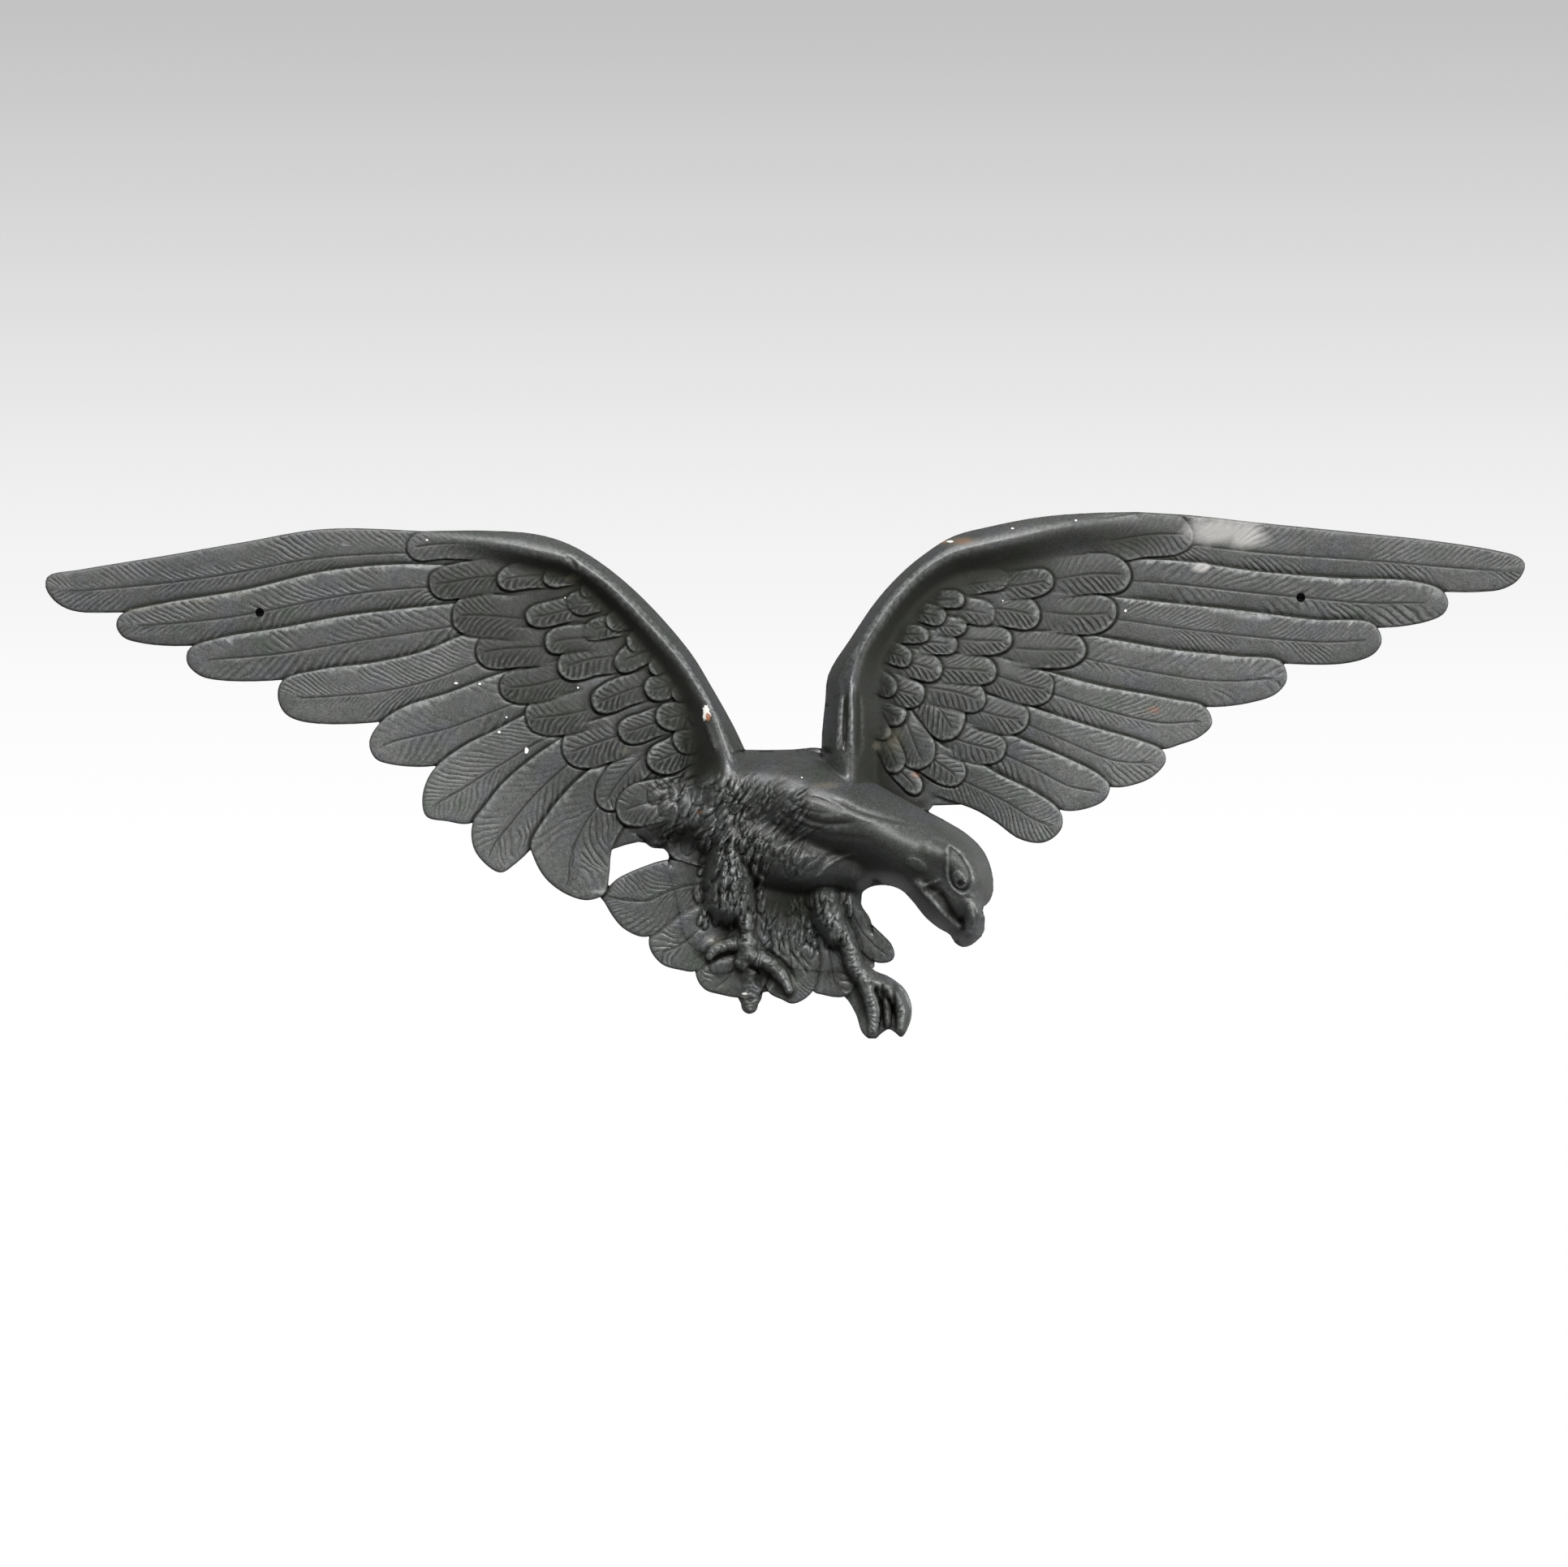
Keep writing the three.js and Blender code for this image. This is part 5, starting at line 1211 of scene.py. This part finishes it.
def spots(tree, place, wobble, marks, soft):
    """Where any of some marks is: ovals on the front, given by middle and half sizes in millimetres,
    with ragged edges that fade over a share of their size."""
    found = None
    for x, z, wide, high in marks:
        offset = node(tree, "VectorMath", {0: place, 1: (x * MM, 0, z * MM)}, operation="SUBTRACT").outputs[0]
        scaled = node(tree, "VectorMath", {0: offset, 1: (1 / (wide * MM), 0, 1 / (high * MM))},
                      operation="MULTIPLY").outputs[0]
        radius = node(tree, "VectorMath", {0: scaled}, operation="LENGTH").outputs["Value"]
        mask = ranged(tree, maths(tree, "ADD", radius, wobble), 1 + soft, 1 - soft)
        found = mask if found is None else maths(tree, "MAXIMUM", found, mask)
    return found


def empty_material(name):
    """A new material with an output and nothing else, its tree and that output."""
    material = bpy.data.materials.new(name)
    material.use_nodes = True
    material.node_tree.nodes.clear()
    return material, material.node_tree, material.node_tree.nodes.new("ShaderNodeOutputMaterial")


def paint_material(finish):
    """Old black paint on a cast surface: chalky out on the wings, with painted shade in the grooves and
    hollows, painted light lower down, paler proud edges and barb ridges from wear and painted highlight,
    chips, rubbed places, brownish soiling and the grain of the sand mould."""
    material, tree, output = empty_material("worn_black_paint")
    place = node(tree, "TexCoord").outputs["Object"]
    fine = node(tree, "Attribute", attribute_name="fine").outputs["Fac"]
    broad = node(tree, "Attribute", attribute_name="broad").outputs["Fac"]
    phase = node(tree, "Attribute", attribute_name="barb_count").outputs["Fac"]
    barbed = node(tree, "Attribute", attribute_name="barb_strength").outputs["Fac"]
    front = node(tree, "Attribute", attribute_name="front").outputs["Fac"]
    clouds = node(tree, "TexNoise", {"Vector": place, "Scale": 26.0, "Detail": 5.0, "Roughness": 0.62}).outputs[0]
    grain = node(tree, "TexNoise", {"Vector": place, "Scale": 1300.0, "Detail": 2.0, "Roughness": 0.7}).outputs[0]
    flecks = node(tree, "TexNoise", {"Vector": place, "Scale": 430.0, "Detail": 2.0}).outputs[0]
    tint = node(tree, "TexNoise", {"Vector": place, "Scale": 70.0, "Detail": 2.0}).outputs[0]
    off = maths(tree, "SUBTRACT", phase, maths(tree, "ROUND", phase))
    line = ranged(tree, maths(tree, "ABSOLUTE", off), 0.26, 0.06)
    line = maths(tree, "MULTIPLY", line, barbed)
    ridge = maths(tree, "MULTIPLY", ranged(tree, maths(tree, "ABSOLUTE", off), 0.25, 0.48), barbed)

    across = maths(tree, "ABSOLUTE", node(tree, "SeparateXYZ", {0: place}).outputs["X"])
    rise = node(tree, "SeparateXYZ", {0: place}).outputs["Z"]
    outer = ranged(tree, across, *CHALK_SPAN)
    chalky = maths(tree, "MULTIPLY", ranged(tree, clouds, 0.3, 0.68, 0.25, 1.0), ranged(tree, outer, 0, 1, 0.25, 1.0))
    colour = blended(tree, chalky, (*finish.paint, 1), (*finish.chalk, 1))
    colour = blended(tree, ranged(tree, tint, 0.5, 0.75, 0.0, 0.6), colour, (*finish.green, 1))
    colour = blended(tree, ranged(tree, tint, 0.5, 0.3, 0.0, 0.6), colour, (*finish.blue, 1))
    speckle = ranged(tree, grain, 0.35, 0.65, 0.6, 1.4)
    speckle = maths(tree, "MULTIPLY", speckle, ranged(tree, flecks, 0.3, 0.7, 0.85, 1.15))
    # Painted light: the paint is made lighter lower down, on the wings from their middle height down and near the
    # middle from the beak's height down, standing in for brighter light there.
    lower = maths(tree, "MULTIPLY", ranged(tree, rise, -0.02, -0.09, 0.0, 0.76), outer)
    lower = maths(tree, "ADD", lower, maths(tree, "MULTIPLY", ranged(tree, rise, -0.12, -0.15, 0.0, 0.9),
                                            maths(tree, "SUBTRACT", 1.0, outer)))
    speckle = maths(tree, "MULTIPLY", speckle, maths(tree, "ADD", lower, 1.0))
    speckle = maths(tree, "MULTIPLY", speckle, ranged(tree, outer, 0, 1, 0.5, 0.71))
    speckle = node(tree, "CombineXYZ", {0: speckle, 1: speckle, 2: speckle}).outputs[0]
    colour = node(tree, "VectorMath", {0: colour, 1: speckle}, operation="MULTIPLY").outputs[0]
    # Painted shade: shaft lines, barb lines, small hollows and wide recesses, and the painted shade laid in the
    # relief, darken the paint towards the shade tone; clean is where none of it falls.
    shaft = node(tree, "Attribute", attribute_name="shaft").outputs["Fac"]
    shaft = ranged(tree, maths(tree, "ABSOLUTE", shaft), 0.75, 0.25, 0.0, 0.9)
    hollow = maths(tree, "MAXIMUM", ranged(tree, fine, -0.04, -0.5), maths(tree, "MULTIPLY", line, 0.8))
    hollow = maths(tree, "MAXIMUM", hollow, shaft)
    hollow = maths(tree, "MAXIMUM", hollow, ranged(tree, broad, -0.7, -4.0, 0.0, 0.75))
    painted_shade = node(tree, "Attribute", attribute_name="painted_shade").outputs["Fac"]
    clean = maths(tree, "SUBTRACT", 1.0, maths(tree, "MULTIPLY", painted_shade, 0.87))
    clean = maths(tree, "MULTIPLY", clean, maths(tree, "SUBTRACT", 1.0, maths(tree, "MULTIPLY", hollow, 0.8)))
    colour = blended(tree, clean, (*finish.shade_tone, 1), colour)
    # Painted highlight with wear: proud edges and barb ridges turn paler, less so under painted shade.
    proud = maths(tree, "MAXIMUM", ranged(tree, fine, 0.1, 0.5), maths(tree, "MULTIPLY", ridge, 0.8))
    proud = maths(tree, "MULTIPLY", proud, ranged(tree, flecks, 0.4, 0.62, 0.2, 1.0))
    proud = maths(tree, "MULTIPLY", proud, ranged(tree, painted_shade, 0, 1, 1.0, 0.5))
    colour = blended(tree, maths(tree, "MULTIPLY", proud, 0.65), colour, (*finish.worn, 1))

    ragged = ranged(tree, flecks, 0.3, 0.7, -0.45, 0.45)
    cloudy = ranged(tree, tint, 0.3, 0.7, -0.3, 0.3)
    for marks, tone, strength, wobble, soft in (
        (DUSTY, finish.dusty, 0.22, ragged, 0.5), (RUBBED, finish.rubbed, 0.4, ragged, 0.6),
        (PALE, finish.pale, 0.8, cloudy, 0.45), (CHIPS, finish.bare, 0.95, ragged, 0.15),
        (RUST, finish.rust, 0.9, ragged, 0.25),
    ):
        where = maths(tree, "MULTIPLY", spots(tree, place, wobble, marks, soft), strength)
        where = maths(tree, "MULTIPLY", where, front)
        colour = blended(tree, where, colour, (*tone, 1))

    cut = maths(tree, "MULTIPLY", line, -0.0003)
    bumpy = maths(tree, "ADD", cut, maths(tree, "MULTIPLY", grain, 0.00010))
    bump = node(tree, "Bump", {"Strength": 1.0, "Distance": 1.0, "Height": bumpy}).outputs[0]
    rough = maths(tree, "ADD", ranged(tree, clouds, 0.3, 0.7, 0.0, 0.1), ranged(tree, outer, 0, 1, 0.28, 0.42))
    rough = maths(tree, "ADD", rough, maths(tree, "MULTIPLY", hollow, 0.15))
    rough = maths(tree, "ADD", rough, maths(tree, "MULTIPLY", painted_shade, 0.35))
    matt = maths(tree, "MAXIMUM", painted_shade, maths(tree, "MULTIPLY", hollow, 0.6))
    shader = node(tree, "BsdfPrincipled", {"Base Color": colour, "Roughness": rough, "Normal": bump,
                                           "Specular IOR Level": ranged(tree, matt, 0, 1, 0.5, 0.14),
                                           "Metallic": 0.0, "IOR": 1.5}).outputs[0]
    tree.links.new(shader, output.inputs[0])
    return material


def backdrop_material(stage):
    """A studio sheet that glows by itself, with painted light pale grey high up and white lower down, by its height.
    """
    material, tree, output = empty_material("studio_sheet")
    place = node(tree, "TexCoord").outputs["Object"]
    height = node(tree, "SeparateXYZ", {0: place}).outputs["Z"]
    share = ranged(tree, height, *BACKDROP_SPAN)
    ramp = node(tree, "ValToRGB", {"Fac": share})
    while len(ramp.color_ramp.elements) < len(BACKDROP_TONES):
        ramp.color_ramp.elements.new(0.5)
    for element, (position, tone) in zip(ramp.color_ramp.elements, BACKDROP_TONES):
        element.position = position
        element.color = (tone, tone, tone, 1)
    glow = node(tree, "Emission", {"Color": ramp.outputs[0], "Strength": stage.backdrop_glow}).outputs[0]
    tree.links.new(glow, output.inputs[0])
    return material


class CastingSettings(PropertyGroup):
    """Sizes of the casting's relief, in millimetres."""

    cell: FloatProperty(name="Grid", description="Spacing of the relief's grid in millimetres", default=0.5, min=0.3)
    wall: FloatProperty(name="Wall", description="Thickness of the metal in millimetres", default=4.5)
    rim: FloatProperty(name="Rim", description="Width of the flat rim of the back in millimetres", default=5.5)
    rim_radius: FloatProperty(name="Rim radius", description="Rounding of the front rim in millimetres", default=1.5)
    lap: FloatProperty(name="Lap", description="Height of a feather's upper edge in millimetres", default=2.2)
    vane_crown: FloatProperty(name="Vane crown", description="Swelling of a feather in millimetres", default=0.5)
    edge_radius: FloatProperty(name="Feather edge", description="Rounding of a feather's edge in millimetres", default=0.9)
    valley_depth: FloatProperty(name="Valley depth", description="Depth beside a feather in millimetres", default=0.9)
    valley_width: FloatProperty(name="Valley width", description="Width beside a feather in millimetres", default=1.8)
    covert_rise: FloatProperty(name="Covert rise", description="Height of a covert's tip in millimetres", default=1.9)
    covert_crown: FloatProperty(name="Covert crown", description="Swelling of a covert in millimetres", default=0.9)
    groove_depth: FloatProperty(name="Groove depth", description="Depth of the line round a covert in millimetres", default=1.0)
    groove_width: FloatProperty(name="Groove width", description="Width of the line round a covert in millimetres", default=0.8)
    barb_pitch: FloatProperty(name="Barb pitch", description="Spacing of the barb lines in millimetres", default=3.6)
    barb_slant: FloatProperty(name="Barb slant", description="Rise of a barb line for each unit across", default=1.7)
    barb_depth: FloatProperty(name="Barb depth", description="Depth of the barb lines in millimetres", default=0.6)
    shaft_depth: FloatProperty(name="Shaft depth", description="Depth of the shaft line in millimetres", default=0.5)
    triangles: IntProperty(name="Triangles", description="Triangles kept in the casting", default=190000)


class FinishSettings(PropertyGroup):
    """Colours of the old paint."""

    paint: FloatVectorProperty(name="Paint", description="Black paint", subtype="COLOR", default=(0.052, 0.055, 0.051))
    chalk: FloatVectorProperty(name="Chalk", description="Weathered paint", subtype="COLOR", default=(0.090, 0.091, 0.088))
    green: FloatVectorProperty(name="Green", description="Greenish paint", subtype="COLOR", default=(0.050, 0.064, 0.048))
    blue: FloatVectorProperty(name="Blue", description="Bluish paint", subtype="COLOR", default=(0.066, 0.071, 0.082))
    # The tone that painted shade darkens the paint towards in grooves, hollows and recesses.
    shade_tone: FloatVectorProperty(name="Dust", description="Dirt in the grooves", subtype="COLOR", default=(0.012, 0.013, 0.009))
    # Paler paint on proud edges and barb ridges: wear, and a painted highlight.
    worn: FloatVectorProperty(name="Worn", description="Rubbed edges", subtype="COLOR", default=(0.20, 0.21, 0.205))
    dusty: FloatVectorProperty(name="Dusty", description="Brownish dirt", subtype="COLOR", default=(0.17, 0.15, 0.10))
    rubbed: FloatVectorProperty(name="Rubbed", description="Red-brown undercoat", subtype="COLOR", default=(0.20, 0.09, 0.05))
    pale: FloatVectorProperty(name="Pale", description="Faded patch", subtype="COLOR", default=(0.31, 0.30, 0.29))
    bare: FloatVectorProperty(name="Bare", description="White ground under chips", subtype="COLOR", default=(0.80, 0.78, 0.73))
    rust: FloatVectorProperty(name="Rust", description="Rust in a chip", subtype="COLOR", default=(0.27, 0.10, 0.04))


class StageSettings(PropertyGroup):
    """The studio round the plaque."""

    camera_distance: FloatProperty(name="Camera distance", description="Camera to plaque", default=6.0, unit="LENGTH")
    frame_width: FloatProperty(name="Frame width", description="Width seen at the plaque", default=0.7966, unit="LENGTH")
    top_light: FloatProperty(name="Top light", description="Power of the soft light overhead in watts", default=60.0)
    front_light: FloatProperty(name="Front light", description="Power of the soft light in front in watts", default=235.0)
    side_light: FloatProperty(name="Side light", description="Power of the soft light at the right in watts", default=75.0)
    sky: FloatProperty(name="Surroundings", description="Brightness of the surroundings", default=0.26)
    backdrop_glow: FloatProperty(name="Backdrop", description="Brightness of the backdrop", default=1.0)


class EAGLE_OT_casting(Operator):
    """Makes the casting with its relief and its old paint, with painted shade and painted highlight"""

    bl_idname = "eagle.casting"
    bl_label = "Casting"

    def execute(self, context):
        style = context.scene.eagle_casting
        relief = carve(style)
        away = inset(relief)
        round_rim(relief, away, style.rim_radius)
        deep = hollow_of(relief, away, style)
        places, triangles = with_shade_discs(*surface_of(relief, deep))
        low, high = np.array(CAD_BOX[0]), np.array(CAD_BOX[1])
        mesh = new_mesh("eagle_relief", np.clip(places * MM, low, high), triangles)
        piece = bpy.data.objects.new("eagle_relief", mesh)
        context.scene.collection.objects.link(piece)
        thinned(piece, style.triangles)
        paint_marks(piece, relief, deep)
        piece.data.shade_smooth()
        piece.data.set_sharp_from_angle(angle=math.radians(60))
        piece.data.materials.append(paint_material(context.scene.eagle_finish))
        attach(piece, "root")
        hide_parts("eagle_casting")
        return {"FINISHED"}


class EAGLE_OT_stage(Operator):
    """Makes the camera, the lights and the backdrop"""

    bl_idname = "eagle.stage"
    bl_label = "Stage"

    def execute(self, context):
        stage = context.scene.eagle_stage
        scene = context.scene
        camera = bpy.data.objects.new("camera", bpy.data.cameras.new("camera"))
        camera.data.lens = camera.data.sensor_width * stage.camera_distance / stage.frame_width
        camera.data.clip_end = 60
        camera.location = (FRAME_CENTRE[0], -stage.camera_distance, FRAME_CENTRE[1])
        camera.rotation_euler = (math.pi / 2, 0, 0)
        scene.collection.objects.link(camera)
        scene.camera = camera
        for name, place, size, power in (
            ("top_light", (-0.4, -1.2, 2.6), (2.2, 0.7), stage.top_light),
            ("front_light", (0.3, -3.9, 2.5), (1.5, 1.1), stage.front_light),
            ("side_light", (2.6, -1.3, 0.5), (0.5, 1.7), stage.side_light),
        ):
            lamp = bpy.data.lights.new(name, "AREA")
            lamp.shape = "RECTANGLE"
            lamp.size, lamp.size_y = size
            lamp.energy = power
            light = bpy.data.objects.new(name, lamp)
            light.location = place
            light.rotation_euler = (Vector((0, 0, -0.08)) - Vector(place)).to_track_quat("-Z", "Y").to_euler()
            scene.collection.objects.link(light)
        world = bpy.data.worlds.new("surroundings")
        world.use_nodes = True
        world.node_tree.nodes["Background"].inputs[0].default_value = (1, 1, 1, 1)
        world.node_tree.nodes["Background"].inputs[1].default_value = stage.sky
        scene.world = world
        sheet = backdrop()
        sheet.data.materials.append(backdrop_material(stage))
        for kind in ("visible_diffuse", "visible_glossy", "visible_shadow", "visible_transmission"):
            setattr(sheet, kind, False)
        scene.collection.objects.link(sheet)
        scene.view_settings.view_transform = "Standard"
        return {"FINISHED"}


def backdrop():
    """A round wall and floor: a profile of radius and height carried round the middle."""
    around = np.linspace(0, 2 * math.pi, 97)[:-1]
    profile = np.array([(0.01, FLOOR), (BACKDROP_RADIUS - 1.5, FLOOR), (BACKDROP_RADIUS - 0.5, FLOOR + 0.15),
                        (BACKDROP_RADIUS, FLOOR + 1.0), (BACKDROP_RADIUS, 6.0)])
    radius, height = profile[:, 0][:, None], profile[:, 1][:, None]
    places = np.stack([radius * np.cos(around), radius * np.sin(around), height + 0 * around], axis=-1)
    count = len(around)
    a = np.arange(len(profile) - 1)[:, None] * count + np.arange(count)
    b = np.arange(len(profile) - 1)[:, None] * count + (np.arange(count) + 1) % count
    a, b = a.ravel(), b.ravel()
    triangles = np.vstack([np.stack([a, b + count, b], axis=1), np.stack([a, a + count, b + count], axis=1)])
    places = np.vstack([places.reshape(-1, 3), [(0, 0, FLOOR)]])
    ring = np.arange(count)
    middle = np.stack([ring, (ring + 1) % count, np.full(count, len(places) - 1)], axis=1)
    mesh = new_mesh("backdrop", places, np.vstack([triangles, middle]))
    mesh.shade_smooth()
    return bpy.data.objects.new("backdrop", mesh)


class EAGLE_PT_panel(Panel):
    """Lists the operators and their settings"""

    bl_label = "Eagle plaque"
    bl_space_type = "VIEW_3D"
    bl_region_type = "UI"
    bl_category = "Eagle"

    def draw(self, context):
        for operator, group in ((EAGLE_OT_casting, "eagle_casting"), (EAGLE_OT_stage, "eagle_stage")):
            box = self.layout.box()
            box.operator(operator.bl_idname)
            settings = getattr(context.scene, group)
            for name in type(settings).__annotations__:
                box.prop(settings, name)
        for name in FinishSettings.__annotations__:
            self.layout.prop(context.scene.eagle_finish, name)


CLASSES = (CastingSettings, FinishSettings, StageSettings, EAGLE_OT_casting, EAGLE_OT_stage, EAGLE_PT_panel)


def register():
    """Adds the classes and the settings to Blender."""
    for kind in CLASSES:
        bpy.utils.register_class(kind)
    bpy.types.Scene.eagle_casting = PointerProperty(type=CastingSettings)
    bpy.types.Scene.eagle_finish = PointerProperty(type=FinishSettings)
    bpy.types.Scene.eagle_stage = PointerProperty(type=StageSettings)


def unregister():
    """Takes them out again."""
    del bpy.types.Scene.eagle_stage
    del bpy.types.Scene.eagle_finish
    del bpy.types.Scene.eagle_casting
    for kind in reversed(CLASSES):
        bpy.utils.unregister_class(kind)


def main():
    register()
    bpy.ops.eagle.stage()
    bpy.ops.eagle.casting()


if __name__ == "__main__":
    main()
